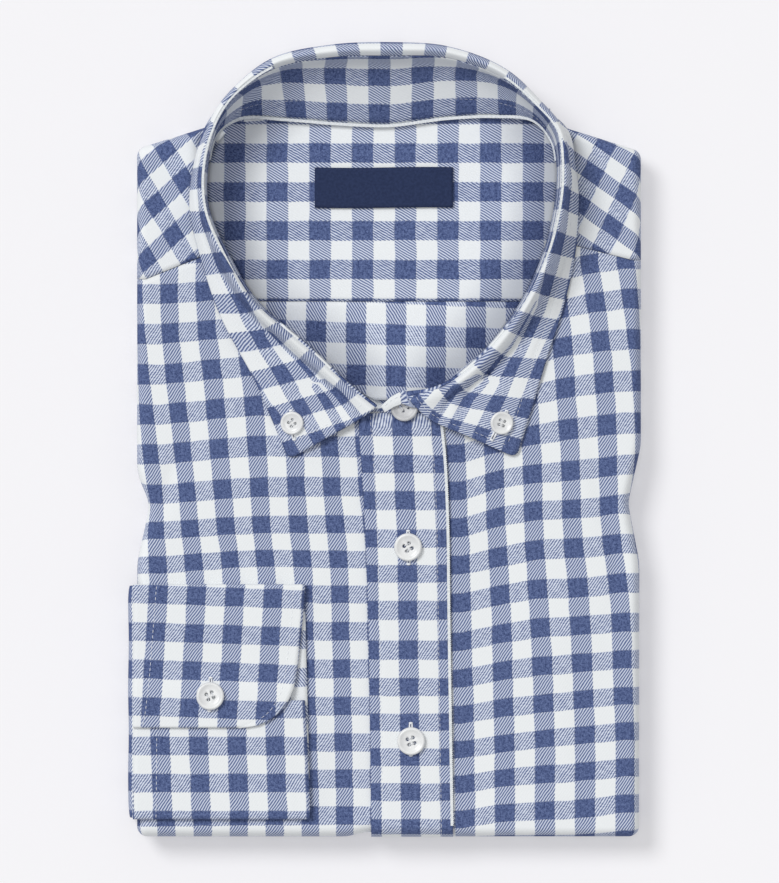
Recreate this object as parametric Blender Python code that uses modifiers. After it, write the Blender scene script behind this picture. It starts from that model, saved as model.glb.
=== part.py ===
"""A folded button-down dress shirt, lying face up on a flat surface.

Every size below is in millimetres and is turned into metres where a mesh is made. +X is the image's
right, +Y its top and +Z up from the surface. Left and right in names are the wearer's, so the right
front lies at -X. The origin is the middle of the flat underside.
"""

from math import ceil, cos, pi, radians, sin, sqrt, tan

import bmesh
import bpy
import numpy as np
from mathutils import Matrix, Vector

MM = 0.001

# Cloth walls and the gap that parts two pieces at a seam
PANEL_WALL = 1.2
COLLAR_WALL = 1.0
CUFF_WALL = 1.3
SLEEVE_WALL = 1.8
PLACKET_WALL = 1.5
LABEL_WALL = 1.0
SEAM_GAP = 0.35

# Heights over the surface
FRONT_TOP = 22.6      # outer face of the fronts and the shoulders
BACK_TOP = 12.0       # face of the back inside the neck, and of the yoke strip behind the collar
PLACKET_TOP = 24.4
CORE_TOP = 20.0
UNDER_BACK = 0.3      # gap between the back and the layers under it
NECK_FLOOR = BACK_TOP - PANEL_WALL - UNDER_BACK
SHOULDER_FALL = {"x": (73.0, 88.0), "y": (116.0, 136.0)}   # where the cloth sinks to go under the collar

# The fold that runs round the body: a half ellipse in section
FOLD_DEEP = 4.0       # how far the fold reaches in from the outline
FOLD_MIDDLE = 0.69    # height of its outermost line, as a share of the top
THIN_FOLD = {"deep": 2.4, "middle": 0.82, "turn": 0.7}   # the same for the thin strip behind the collar
FOLD_TURNS = (24, 50, 76, 105, 150)
PLACKET_TURNS = (24, 50, 76, 100, 125)
COLLAR_SEAM = 0.7     # between the band's top and the leaf, where the cloth bends away

# How finely the shapes are cut
CORNER_STEP = 16      # degrees of a rounded corner
PANEL_STEP = 13.0     # along the outline of the panels
LAYER_STEP = 40.0     # along the outline of the folded layers
PANEL_COLUMNS = 8     # across a front
YOKE_COLUMNS = 4
FLOOR_COLUMNS = 8
PLACKET_COLUMNS = 4
CUFF_COLUMNS = 6

SIDE = 110.9          # half of the folded width
HEM = -174.5
SEAM_RIGHT = 70.8     # height of the yoke seam at each side fold
SEAM_LEFT = 79.2
PLACKET_FOOT = (-8.0, 28.4)
UNDER_PLACKET = {"reach": 18.0, "sink": 1.9, "from": -20.0, "to": -9.0}   # right front at the placket's foot

# Outline of the folded body, from the middle of the back, counterclockwise: x, y, corner radius
OUTLINE = (
    (0.0, 145.0, 0),
    (-60.0, 144.6, 20),
    (-71.0, 142.4, 20),
    (-79.9, 138.0, 20),
    (-88.4, 135.2, 12),
    (-SIDE, 128.2, 4.8),
    (-SIDE, SEAM_RIGHT, 0),
    (-SIDE, -15.0, 26),
    (-105.2, -28.2, 14),
    (-110.8, -53.7, 26),
    (-SIDE, HEM, 4.6),
    (PLACKET_FOOT[0], HEM, 0),
    (PLACKET_FOOT[1], HEM, 0),
    (110.1, HEM, 4.6),
    (110.2, -53.7, 26),
    (105.2, -27.7, 14),
    (SIDE, -2.6, 26),
    (SIDE, SEAM_LEFT, 0),
    (SIDE, 127.0, 4.8),
    (86.2, 134.8, 12),
    (78.5, 137.2, 20),
    (70.4, 141.8, 20),
    (60.0, 144.6, 20),
)

# Shares of each panel's outline that meet shares of its neck edge
RIGHT_MATCHES = ((0, 0), (0.26, 0.38), (0.42, 0.52), (0.60, 0.86), (0.64, 0.9), (1, 1))
LEFT_MATCHES = ((0, 0), (0.28, 0.12), (0.34, 0.18), (0.62, 0.62), (1, 1))
YOKE_MATCHES = (
    (0, 0), (0.10, 0.08), (0.152, 0.126), (0.22, 0.164), (0.265, 0.206), (0.305, 0.252), (0.486, 0.48),
    (0.667, 0.711), (0.709, 0.759), (0.735, 0.785), (0.758, 0.806), (0.789, 0.828), (0.87, 0.885), (1, 1),
)

# Soft swells and troughs of the fronts: x, y, direction, half length, half width, height
SWELLS = (
    (-58.0, -12.0, 80, 28, 26, 0.8),
    (66.0, -96.0, 85, 60, 24, 0.8),
    (90.0, 30.0, 80, 26, 9, 0.5),
    (-97.0, -20.0, 72, 22, 3.6, -0.9),
    (94.0, -26.0, 100, 24, 4.2, -0.9),
    (100.0, -62.0, 82, 20, 3.6, -0.5),
)

# Neck edges of the panels, outside the collar band
NECK_RIGHT = ((-74.6, 83.8), (-73.0, 80.9), (-60.4, 60.1), (-36.5, 39.3), (-20.0, 22.7), (-9.0, 12.4))
STAND_RIGHT = ((-7.5, 11.4), (11.9, 11.4), (11.9, -60.0), (11.9, -166.0))
NECK_LEFT = ((72.5, 88.0), (71.1, 83.6), (61.2, 60.9), (45.3, 39.4), (29.6, 24.6), (24.4, 13.6))
NECK_YOKE = (
    (-74.6, 84.0), (-81.8, 102.1), (-81.9, 123.2), (-78.2, 132.2), (-72.8, 137.9), (-61.2, 140.4),
    (-24.2, 140.5), (0.0, 140.0), (25.1, 142.0), (48.0, 141.6), (66.4, 139.8), (73.9, 134.0),
    (76.8, 121.0), (75.9, 105.2), (72.5, 88.0),
)
PLACKET_EDGES = (     # y, left edge, right edge
    (11.8, -13.4, 23.1),
    (4.6, -13.2, 23.8),
    (-8.8, -12.3, 25.1),
    (-36.5, -10.7, 26.3),
    (-77.0, -9.2, 26.8),
    (-137.5, -8.2, 27.7),
    (-169.6, -7.8, 28.2),
)
PLACKET_OUT = 0.2     # the placket's fold lies this far outside the hem

# Hollow of the neck, cut from the folded layers, and the edge of the cloth on its floor
HOLLOW = (
    (-81.3, 102.1), (-72.4, 81.1), (-60.0, 60.3), (-36.3, 39.6), (-18.9, 23.5),
    (-5.7, 13.9), (6.6, 14.4), (27.3, 24.0), (45.0, 39.7), (60.7, 61.1), (70.7, 83.7), (75.5, 105.2),
    (76.0, 112.0), (92.0, 119.0), (92.0, 152.0), (-92.0, 152.0), (-92.0, 119.0), (-81.4, 112.0),
)
NECK_LINES = (        # y, left edge, right edge of the floor
    (138.6, -66.0, 64.0),
    (134.0, -73.0, 70.4),
    (123.2, -79.3, 74.4),
    (102.1, -79.3, 73.6),
    (81.6, -70.6, 68.6),
    (61.3, -58.4, 58.8),
    (40.7, -34.6, 43.0),
    (24.8, -17.6, 25.2),
    (17.6, -6.4, 6.8),
)
YOKE_SEAM = 61.0
FLOOR_RISE = {"high": 1.6, "from": 45.0, "to": 15.0, "middle": 0.25}   # the back rises towards the front

# The hidden layers: two lower folds that show as rounded edges, and the body of layers inside the fronts
LAYER_SECTION = (     # how far in from the outline, height
    (3.6, 0.0), (2.4, 0.7), (1.9, 2.1), (2.4, 3.5), (4.1, 4.2), (2.3, 4.9), (1.6, 6.3), (2.3, 7.7),
    (4.1, 8.4),
)
LAYER_TURNS = (165, 120, 80, 45, 15)
LAYER_IN = 1.6        # gap from the outline to the layers' outermost line
LAYER_TALL = 1.04     # upper half of the section, against a true half ellipse
HEM_IN = 1.9          # the layers stop this far short of the hem
HOLLOW_TALL = 30.0

# Collar, a row for each section from the back's middle to the front: foot and waist of the band, the
# seam that joins the leaf to it, the crest and outer turn of the roll, the valley under it and the edge
COLUMNS = ("foot", "waist", "seam", "crest", "turn", "valley", "edge")
COLLAR_BACK = (
    (0.0, 138.4, 13.8), (0.0, 163.2, 31.0), (0.0, 168.5, 42.5), (0.0, 171.4, 45.5),
    (0.0, 174.2, 41.5), (0.0, 173.8, 24.0), (0.0, 172.9, 4.5),
)
COLLAR_RIGHT = (
    ((-24.2, 139.3, 13.8), (-25.5, 163.0, 31.0), (-24.6, 167.9, 42.5), (-25.5, 170.5, 45.5),
     (-26.4, 173.0, 41.5), (-26.4, 172.5, 24.0), (-26.0, 171.6, 4.5)),
    ((-45.8, 141.0, 14.6), (-48.2, 159.9, 31.0), (-49.1, 163.2, 42.5), (-50.0, 165.4, 45.8),
     (-50.9, 167.4, 42.0), (-51.0, 166.8, 24.0), (-50.6, 165.9, 5.0)),
    ((-65.1, 141.5, 15.2), (-64.0, 150.9, 32.0), (-65.8, 152.4, 43.0), (-67.0, 153.4, 46.3),
     (-68.2, 154.3, 43.0), (-68.4, 153.8, 26.0), (-68.9, 152.9, 11.0)),
    ((-75.3, 135.0, 14.8), (-73.9, 140.4, 33.0), (-74.4, 141.1, 44.5), (-75.6, 141.8, 47.5),
     (-76.9, 142.6, 44.5), (-77.7, 142.0, 31.0), (-80.0, 139.6, 24.4)),
    ((-79.1, 123.2, 13.8), (-79.6, 123.2, 32.0), (-80.1, 123.2, 46.5), (-81.5, 123.2, 48.5),
     (-82.9, 123.0, 46.3), (-83.4, 122.3, 31.5), (-86.2, 120.1, 24.6)),
    ((-79.1, 102.1, 13.8), (-79.6, 102.1, 32.0), (-80.1, 102.1, 46.5), (-81.4, 102.1, 48.5),
     (-82.9, 101.9, 46.3), (-83.2, 101.6, 31.0), (-87.7, 101.2, 24.4)),
    ((-70.4, 82.1, 14.0), (-71.0, 81.8, 31.0), (-71.6, 81.5, 43.5), (-73.0, 80.9, 45.2),
     (-74.4, 80.2, 43.0), (-76.6, 79.2, 29.5), (-81.6, 75.7, 24.4)),
    ((-57.9, 61.6, 14.5), (-58.5, 61.2, 29.0), (-59.0, 60.9, 38.5), (-60.4, 60.1, 40.3),
     (-61.8, 59.1, 38.0), (-63.7, 57.9, 28.3), (-73.9, 53.7, 24.4)),
    ((-34.8, 41.5, 17.0), (-35.2, 41.0, 26.5), (-35.6, 40.5, 32.5), (-36.8, 38.9, 34.0),
     (-38.2, 37.3, 32.3), (-40.1, 34.8, 27.0), (-59.0, 26.0, 24.4)),
    ((-17.8, 25.5, 20.0), (-18.1, 25.1, 25.0), (-18.5, 24.6, 29.8), (-19.7, 23.1, 31.2),
     (-21.0, 21.4, 29.6), (-22.7, 19.4, 26.7), (-51.5, 8.8, 24.4)),
    ((-7.6, 15.2, 24.4), (-6.5, 15.0, 26.4), (-5.7, 14.4, 28.4), (-7.3, 12.9, 30.2),
     (-9.9, 11.0, 29.3), (-13.4, 8.8, 27.4), (-44.1, -8.7, 24.6)),
)
COLLAR_LEFT = (
    ((25.1, 141.5, 13.8), (25.1, 162.6, 31.0), (25.5, 167.6, 42.5), (26.0, 170.1, 45.5),
     (26.4, 172.3, 41.5), (26.4, 171.8, 24.0), (26.0, 170.9, 4.5)),
    ((48.0, 142.4, 14.6), (47.5, 156.9, 31.0), (48.8, 159.3, 42.5), (49.9, 161.0, 45.8),
     (50.8, 162.8, 42.0), (51.0, 162.1, 24.0), (50.4, 161.3, 5.0)),
    ((63.4, 140.6, 15.2), (63.4, 145.6, 32.0), (64.3, 146.7, 43.0), (65.4, 147.7, 46.3),
     (66.4, 148.7, 43.0), (66.7, 148.1, 26.0), (67.2, 147.2, 11.0)),
    ((71.3, 132.0, 14.6), (72.2, 134.2, 33.0), (73.6, 135.3, 44.5), (74.7, 136.1, 47.5),
     (75.9, 136.8, 44.5), (76.8, 136.4, 31.0), (79.2, 135.4, 24.4)),
    ((73.7, 121.0, 13.8), (74.6, 121.4, 32.0), (75.5, 121.9, 46.5), (77.0, 122.3, 48.5),
     (78.5, 122.8, 46.3), (79.2, 122.1, 31.5), (82.3, 119.7, 24.6)),
    ((73.0, 105.6, 13.8), (73.9, 105.6, 32.0), (74.8, 105.6, 46.5), (76.3, 105.4, 48.5),
     (77.8, 105.2, 46.3), (79.0, 104.7, 31.0), (83.6, 103.8, 24.4)),
    ((68.4, 84.5, 14.0), (69.2, 84.2, 31.0), (69.9, 84.0, 43.5), (71.3, 83.5, 45.2),
     (72.8, 82.9, 43.0), (75.9, 81.8, 29.5), (81.6, 79.6, 24.4)),
    ((58.5, 62.0, 14.5), (59.3, 61.7, 29.0), (59.9, 61.4, 38.5), (61.6, 60.7, 40.3),
     (63.2, 60.0, 38.0), (66.9, 58.5, 28.3), (76.1, 56.3, 24.4)),
    ((43.1, 41.2, 17.0), (43.6, 40.7, 26.5), (44.1, 40.3, 32.5), (45.7, 39.1, 34.0),
     (47.4, 37.7, 32.3), (50.2, 35.5, 27.0), (68.6, 33.0, 24.4)),
    ((26.0, 26.2, 20.0), (26.3, 25.7, 25.0), (26.6, 25.3, 29.8), (27.6, 24.0, 32.2),
     (29.2, 21.8, 30.8), (31.0, 19.4, 27.3), (62.5, 12.3, 24.4)),
    ((17.0, 14.6, 25.0), (17.1, 18.4, 27.0), (17.3, 21.8, 29.3), (17.8, 22.9, 31.2),
     (19.6, 19.6, 31.9), (24.0, 13.8, 28.6), (59.3, 2.2, 24.5)),
    ((6.6, 6.0, 25.2), (7.0, 13.0, 26.9), (8.0, 18.2, 28.3), (8.2, 19.9, 29.9),
     (9.6, 17.2, 31.3), (17.6, 9.3, 28.9), (56.1, -7.9, 24.6)),
)
BAND_ENDS = (         # foot, waist and top of the band, past the leaf's end
    ((4.6, 6.0, 25.2), (4.8, 13.2, 26.9), (5.2, 20.0, 28.7)),
    ((-2.6, 7.6, 25.2), (-3.0, 11.5, 26.4), (-3.6, 15.0, 27.6)),
)
LEAF_LIFT = 0.4       # how far the middle of the flat leaf stands over a straight line

# Cuff: the strip's right edge along its run, from the hidden under-lap to the overlap's end
CUFF_LEFT = -112.6
CUFF_TOP, CUFF_BOTTOM = -63.4, -166.8
CUFF_LOW, CUFF_HIGH, OVERLAP_HIGH = 23.0, 26.1, 27.9
UNDER_LAP = (         # y, right edge
    (-114.4, -37.0), (-128.5, -36.1), (-146.0, -35.3), (-160.0, -34.7),
)
CUFF_FOOT_RIGHT, CUFF_HEAD_RIGHT = -34.7, -36.9
PLY_BENEATH = (       # y, height, right edge
    (-140.0, CUFF_LOW, -35.2), (-90.0, CUFF_LOW, -36.5),
)
OVERLAP = (           # y, height, right edge
    (-78.0, CUFF_HIGH, -37.8), (-93.3, CUFF_HIGH, -39.4), (-104.0, CUFF_HIGH + 0.4, -40.7),
    (-110.0, OVERLAP_HIGH - 0.3, -42.2), (-114.0, OVERLAP_HIGH, -43.9), (-118.0, OVERLAP_HIGH, -46.4),
    (-121.0, OVERLAP_HIGH, -49.4), (-123.6, OVERLAP_HIGH, -53.2), (-125.4, OVERLAP_HIGH, -57.6),
    (-126.4, OVERLAP_HIGH, -63.0),
)
SLEEVE_BULGE = 2.4
SLEEVE_TURN = (       # reach beyond the cuff as a share of the bulge, height
    (0.0, 25.9), (0.25, 25.85), (0.7, 24.6), (0.95, 21.0), (1.0, 14.0), (1.0, 8.0), (0.9, 4.0),
    (0.62, 2.4),
)
SLEEVE_SHORT = 0.8    # the sleeve stops this far inside the cuff's ends
SLEEVE_ENDS = 6.0     # length over which the bulge dies away at each end
SLEEVE_END_ROWS = (0, 0.3, 0.65, 1.0)
SLEEVE_END_SHARE = 0.75

# Four-hole shirt buttons: outer sizes, height, radius of a hole and how far it is from the middle
BUTTON = {"large": 12.3, "small": 10.2, "high": 2.2, "hole": 1.0, "spread": 1.755}
BUTTON_PROFILE = (    # share of the radius, share of the height
    (0.0, 0.0), (0.80, 0.0), (1.0, 0.38), (1.0, 0.68), (0.93, 1.0), (0.76, 0.97), (0.56, 0.70), (0.0, 0.66),
)
BUTTON_SIDES = 18
HOLE_SIDES = 6
BUTTON_GAP = 0.35     # between a button and the cloth it is fastened to
TOP_PLY = 8.0         # weight of height against distance, so that a button finds the uppermost ply
BUTTONS = (           # name, x, y, size, rests on, turn of its holes
    ("button_front_1", 8.4, -47.1, "large", "placket", 4),
    ("button_front_2", 9.7, -132.4, "large", "placket", -6),
    ("button_point_right", -42.5, 7.5, "small", "leaf", 12),
    ("button_point_left", 49.4, 7.5, "small", "leaf", -8),
    ("button_cuff", -78.6, -112.6, "large", "cuff", 20),
)
BAND_BUTTON = {"centre": (5.0, 11.4, 27.6), "normal": (-0.04, -0.25, 0.97), "turn": 10}
LABEL = {"left": -32.7, "right": 28.2, "low": 102.3, "high": 120.1, "gap": 0.7, "sag": 0.005}

CLOTH_BLUE = (0.34, 0.40, 0.58)
LABEL_NAVY = (0.015, 0.027, 0.084)
BUTTON_WHITE = (0.86, 0.87, 0.87)


def clear_scene():
    for obj in list(bpy.data.objects):
        bpy.data.objects.remove(obj, do_unlink=True)


def collection(name):
    made = bpy.data.collections.new(name)
    bpy.context.scene.collection.children.link(made)
    return made


def material(name, colour, roughness):
    made = bpy.data.materials.get(name)
    if made is None:
        made = bpy.data.materials.new(name)
        made.use_nodes = True
        shader = made.node_tree.nodes["Principled BSDF"]
        shader.inputs["Base Color"].default_value = (*colour, 1.0)
        shader.inputs["Roughness"].default_value = roughness
        shader.inputs["Metallic"].default_value = 0.0
        made.diffuse_color = (*colour, 1.0)
    return made


def add_object(name, mesh, finish, into):
    obj = bpy.data.objects.new(name, mesh)
    mesh.materials.append(finish)
    into.objects.link(obj)
    return obj


def curve_through(points, steps):
    """A centripetal Catmull-Rom curve through the given points, with a number of steps in each span."""
    points = np.array(points, float)
    before = 2 * points[0] - points[1]
    after = 2 * points[-1] - points[-2]
    padded = np.vstack([before, points, after])
    made = []
    for i in range(1, len(padded) - 2):
        p = padded[i - 1 : i + 3]
        spans = np.sqrt(np.linalg.norm(np.diff(p, axis=0), axis=1)) + 1e-9
        knots = np.concatenate([[0], np.cumsum(spans)])
        for step in range(steps):
            t = knots[1] + (knots[2] - knots[1]) * step / steps
            a = [
                p[k] * (knots[k + 1] - t) / (knots[k + 1] - knots[k])
                + p[k + 1] * (t - knots[k]) / (knots[k + 1] - knots[k])
                for k in range(3)
            ]
            b = [
                a[k] * (knots[k + 2] - t) / (knots[k + 2] - knots[k])
                + a[k + 1] * (t - knots[k]) / (knots[k + 2] - knots[k])
                for k in range(2)
            ]
            made.append((b[0] * (knots[2] - t) + b[1] * (t - knots[1])) / (knots[2] - knots[1]))
    made.append(points[-1])
    return np.array(made)


def lengths_along(path):
    return np.concatenate([[0], np.cumsum(np.linalg.norm(np.diff(path, axis=0), axis=1))])


def point_along(path, share):
    """The point at a share, from 0 to 1, of a polyline's length."""
    runs = lengths_along(path)
    place = share * runs[-1]
    return np.array([np.interp(place, runs, path[:, axis]) for axis in range(path.shape[1])])


def smooth_step(value, low, high):
    share = min(max((value - low) / (high - low), 0.0), 1.0)
    return share * share * (3 - 2 * share)


def rounded_outline(corners, longest):
    """A closed outline with rounded corners, as points and outward normals. No side is over the longest."""
    count = len(corners)
    runs = []
    for i in range(count):
        here = np.array(corners[i][:2])
        toward_last = np.array(corners[i - 1][:2]) - here
        toward_next = np.array(corners[(i + 1) % count][:2]) - here
        last_way = toward_last / np.linalg.norm(toward_last)
        next_way = toward_next / np.linalg.norm(toward_next)
        turn = pi - np.arccos(np.clip(last_way @ next_way, -1, 1))
        radius = corners[i][2]
        if radius == 0 or turn < 0.01:
            runs.append([here])
            continue
        reach = radius * tan(turn / 2)
        middle_way = (last_way + next_way) / np.linalg.norm(last_way + next_way)
        centre = here + middle_way * radius / cos(turn / 2)
        start = here + last_way * reach - centre
        end = here + next_way * reach - centre
        steps = max(2, ceil(turn / radians(CORNER_STEP)))
        arc = []
        for step in range(steps + 1):
            share = step / steps
            spoke = (start * sin((1 - share) * turn) + end * sin(share * turn)) / sin(turn)
            arc.append(centre + spoke)
        runs.append(arc)
    loop = [point for run in runs for point in run]
    dense = []
    for i, point in enumerate(loop):
        after = loop[(i + 1) % len(loop)]
        pieces = max(1, ceil(np.linalg.norm(after - point) / longest))
        dense += [point + (after - point) * k / pieces for k in range(pieces)]
    dense = np.array(dense)
    ahead = np.roll(dense, -1, axis=0) - dense
    behind = dense - np.roll(dense, 1, axis=0)
    ahead /= np.linalg.norm(ahead, axis=1)[:, None]
    behind /= np.linalg.norm(behind, axis=1)[:, None]
    tangent = ahead + behind
    tangent /= np.linalg.norm(tangent, axis=1)[:, None]
    normal = np.stack([tangent[:, 1], -tangent[:, 0]], axis=1)
    return dense, normal


def outline_run(outline, start, end):
    """The stretch of the outline between two of its points, in the outline's own direction."""
    points, normals = outline
    first = int(np.argmin(np.linalg.norm(points - np.array(start), axis=1)))
    last = int(np.argmin(np.linalg.norm(points - np.array(end), axis=1)))
    if last <= first:
        last += len(points)
    picked = np.arange(first, last + 1) % len(points)
    return points[picked], normals[picked]


def cloth_top(x, y):
    """Height of the cloth's outer face over the surface."""
    height = FRONT_TOP
    for at_x, at_y, direction, half_length, half_width, rise in SWELLS:
        way = radians(direction)
        along = (x - at_x) * cos(way) + (y - at_y) * sin(way)
        across = -(x - at_x) * sin(way) + (y - at_y) * cos(way)
        height += rise * np.exp(-((along / half_length) ** 2) - (across / half_width) ** 2)
    sunk = (1 - smooth_step(abs(x), *SHOULDER_FALL["x"])) * smooth_step(y, *SHOULDER_FALL["y"])
    return height - (FRONT_TOP - BACK_TOP) * sunk


def fullness(top):
    """1 where all the layers lie under a panel, 0 on the thin strip behind the collar."""
    return min(max((top - BACK_TOP) / (FRONT_TOP - BACK_TOP), 0.0), 1.0)


def fold_section(inner, outward, top, deep, turns):
    """The half ellipse that carries a panel round the body's edge, from the flat top to its underside."""
    full = fullness(top)
    middle = top * (THIN_FOLD["middle"] + (FOLD_MIDDLE - THIN_FOLD["middle"]) * full)
    made = []
    for degrees in turns:
        turn = radians(degrees * (THIN_FOLD["turn"] + (1 - THIN_FOLD["turn"]) * full))
        flat = inner + outward * deep * sin(turn)
        made.append((flat[0], flat[1], middle + (top - middle) * cos(turn)))
    return made


def panel_grid(outline_part, neck, matches, across, sink=None):
    """A panel between its neck edge and the body's outline, with the fold round the outline.

    matches pairs a share of the outline's run with a share of the neck edge. sink, if given, is how far
    the outline is drawn in at a point, where another piece lies over the fold.
    """
    points, normals = outline_part
    runs = lengths_along(points)
    grid = []
    for point, normal, run in zip(points, normals, runs):
        share = np.interp(run / runs[-1], *zip(*matches))
        start = point_along(neck, share)
        drawn_in = sink(point[0]) if sink else 0.0
        full = fullness(cloth_top(*(point - normal * FOLD_DEEP)))
        deep = THIN_FOLD["deep"] + (FOLD_DEEP - THIN_FOLD["deep"]) * full
        edge = point - normal * (deep + drawn_in)
        row = []
        for step in range(across + 1):
            flat = start + (edge - start) * step / across
            row.append((flat[0], flat[1], cloth_top(*flat)))
        row += fold_section(edge, normal, cloth_top(*edge), deep, FOLD_TURNS)
        grid.append(row)
    return np.array(grid)


def sheet_mesh(name, grid, turned_over):
    grid = np.asarray(grid, float)
    rows, columns = grid.shape[:2]
    shape = bmesh.new()
    made = [[shape.verts.new(Vector(point) * MM) for point in row] for row in grid]
    for i in range(rows - 1):
        for j in range(columns - 1):
            corners = [made[i][j], made[i + 1][j], made[i + 1][j + 1], made[i][j + 1]]
            shape.faces.new(corners[::-1] if turned_over else corners)
    mesh = bpy.data.meshes.new(name)
    shape.to_mesh(mesh)
    shape.free()
    mesh.shade_smooth()
    return mesh


def cloth_wall(name, grid, wall, finish, into, turned_over=False):
    """A cloth wall: its outer face is the grid, and its thickness goes inwards."""
    obj = add_object(name, sheet_mesh(name, grid, turned_over), finish, into)
    thick = obj.modifiers.new("Wall", "SOLIDIFY")
    thick.thickness = wall * MM
    thick.offset = -1
    return obj


def open_seam(grid, row, way):
    """Moves one row of a grid sideways in plan, to open the gap at a seam."""
    grid[row, :, 0] += way[0] * SEAM_GAP
    grid[row, :, 1] += way[1] * SEAM_GAP


def make_fronts(outline, cloth, into):
    def under_placket(x):
        return UNDER_PLACKET["sink"] * smooth_step(x, UNDER_PLACKET["from"], UNDER_PLACKET["to"])

    hidden_foot = (PLACKET_FOOT[0] + UNDER_PLACKET["reach"], HEM)
    run = outline_run(outline, (-SIDE, SEAM_RIGHT), hidden_foot)
    neck = np.vstack([curve_through(NECK_RIGHT, 4), STAND_RIGHT])
    grid = panel_grid(run, neck, RIGHT_MATCHES, PANEL_COLUMNS, under_placket)
    open_seam(grid, 0, (0.36, -0.93))
    cloth_wall("front_right", grid, PANEL_WALL, cloth, into, turned_over=True)

    run = outline_run(outline, (PLACKET_FOOT[1], HEM), (SIDE, SEAM_LEFT))
    side_edge = [(x + SEAM_GAP, y) for y, _, x in PLACKET_EDGES]
    neck = np.vstack([curve_through(NECK_LEFT, 4), side_edge])[::-1]
    grid = panel_grid(run, neck, LEFT_MATCHES, PANEL_COLUMNS)
    grid[0, :, 0] = np.maximum(grid[0, :, 0], grid[0, 0, 0])
    open_seam(grid, -1, (-0.19, -0.98))
    cloth_wall("front_left", grid, PANEL_WALL, cloth, into, turned_over=True)


def make_placket(cloth, into):
    edges = curve_through(PLACKET_EDGES, 3)
    run = [(y, PLACKET_TOP, left, right) for y, left, right in edges]
    foot, left, right = edges[-1]
    deep = foot - (HEM - PLACKET_OUT)
    middle = FRONT_TOP * FOLD_MIDDLE
    for degrees in PLACKET_TURNS:
        turn = radians(degrees)
        run.append((foot - deep * sin(turn), middle + (PLACKET_TOP - middle) * cos(turn), left, right))
    grid = [
        [(left + (right - left) * k / PLACKET_COLUMNS, y, z) for k in range(PLACKET_COLUMNS + 1)]
        for y, z, left, right in run
    ]
    cloth_wall("placket", grid, PLACKET_WALL, cloth, into)
    return np.array(grid)


def make_yoke_outer(outline, cloth, into):
    run = outline_run(outline, (SIDE, SEAM_LEFT), (-SIDE, SEAM_RIGHT))
    grid = panel_grid(run, curve_through(NECK_YOKE[::-1], 3), YOKE_MATCHES, YOKE_COLUMNS)
    cloth_wall("yoke_outer", grid, PANEL_WALL, cloth, into, turned_over=True)


def make_neck_floor(cloth, navy, into):
    lines = curve_through(NECK_LINES, 3)
    floor = lines[lines[:, 0].argsort()[::-1]]
    above = [line for line in floor if line[0] > YOKE_SEAM + 1] + [floor_line(floor, YOKE_SEAM + SEAM_GAP)]
    below = [floor_line(floor, YOKE_SEAM)] + [line for line in floor if line[0] < YOKE_SEAM - 1]
    for name, part in (("yoke_inner", above), ("back_inner", below)):
        grid = []
        for y, left, right in part:
            rise = FLOOR_RISE["high"] * smooth_step(-y, -FLOOR_RISE["from"], -FLOOR_RISE["to"])
            row = []
            for k in range(FLOOR_COLUMNS + 1):
                share = k / FLOOR_COLUMNS
                swell = FLOOR_RISE["middle"] * sin(pi * share)
                row.append((left + (right - left) * share, y, BACK_TOP + rise + swell))
            grid.append(row)
        cloth_wall(name, grid, PANEL_WALL, cloth, into)

    top = BACK_TOP + LABEL["gap"] + LABEL_WALL
    grid = [
        [(x, y, top - LABEL["sag"] * abs(x)) for x in np.linspace(LABEL["left"], LABEL["right"], 9)]
        for y in np.linspace(LABEL["high"], LABEL["low"], 4)
    ]
    cloth_wall("label", grid, LABEL_WALL, navy, into)


def floor_line(floor, y):
    order = floor[::-1]
    return (y, np.interp(y, order[:, 0], order[:, 1]), np.interp(y, order[:, 0], order[:, 2]))


def collar_lines():
    """Each column of the collar's tables as one curve, from the right front round the back to the left."""
    rows = [*COLLAR_RIGHT[::-1], COLLAR_BACK, *COLLAR_LEFT]
    return {name: curve_through([row[k] for row in rows], 2) for k, name in enumerate(COLUMNS)}


def make_collar(cloth, into):
    lines = collar_lines()
    grid = []
    for waist, seam, crest, turn, valley, edge in zip(*(lines[name] for name in COLUMNS[1:])):
        middle = (valley + edge) / 2 + np.array((0, 0, LEAF_LIFT))
        section = curve_through((waist, seam, crest, turn, valley, middle, edge), 2)
        grid.append(section[2:])
    leaf = np.array(grid)
    cloth_wall("collar_leaf", leaf, COLLAR_WALL, cloth, into)

    grid = []
    for foot, waist, seam, crest in zip(*(lines[name] for name in COLUMNS[:4])):
        section = curve_through((foot, waist, seam, crest), 2)[:-2]
        short = section[-1] - section[-2]
        section[-1] -= short / np.linalg.norm(short) * COLLAR_SEAM
        grid.append(section)
    grid += [curve_through(end, 2) for end in BAND_ENDS]
    cloth_wall("collar_band", grid, COLLAR_WALL, cloth, into)
    return leaf


def make_cuff(cloth, into):
    """One strip: the under-lap, the fold at the foot, the ply beneath, the fold at the top, the overlap."""
    radius = (CUFF_HIGH - CUFF_LOW) / 2
    middle = (CUFF_HIGH + CUFF_LOW) / 2
    run = [(y, CUFF_HIGH, right) for y, right in UNDER_LAP]
    for degrees in range(90, -91, -30):
        turn = radians(degrees)
        run.append((CUFF_BOTTOM + radius - radius * cos(turn), middle + radius * sin(turn), CUFF_FOOT_RIGHT))
    run += PLY_BENEATH
    for degrees in range(-90, 91, 30):
        turn = radians(degrees)
        run.append((CUFF_TOP - radius + radius * cos(turn), middle + radius * sin(turn), CUFF_HEAD_RIGHT))
    run += OVERLAP
    grid = []
    for y, z, right in run:
        wide = right - CUFF_LEFT
        grid.append([(CUFF_LEFT + wide * k / CUFF_COLUMNS, y, z) for k in range(CUFF_COLUMNS + 1)])
    cloth_wall("cuff", grid, CUFF_WALL, cloth, into)
    return np.array(grid)


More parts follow.
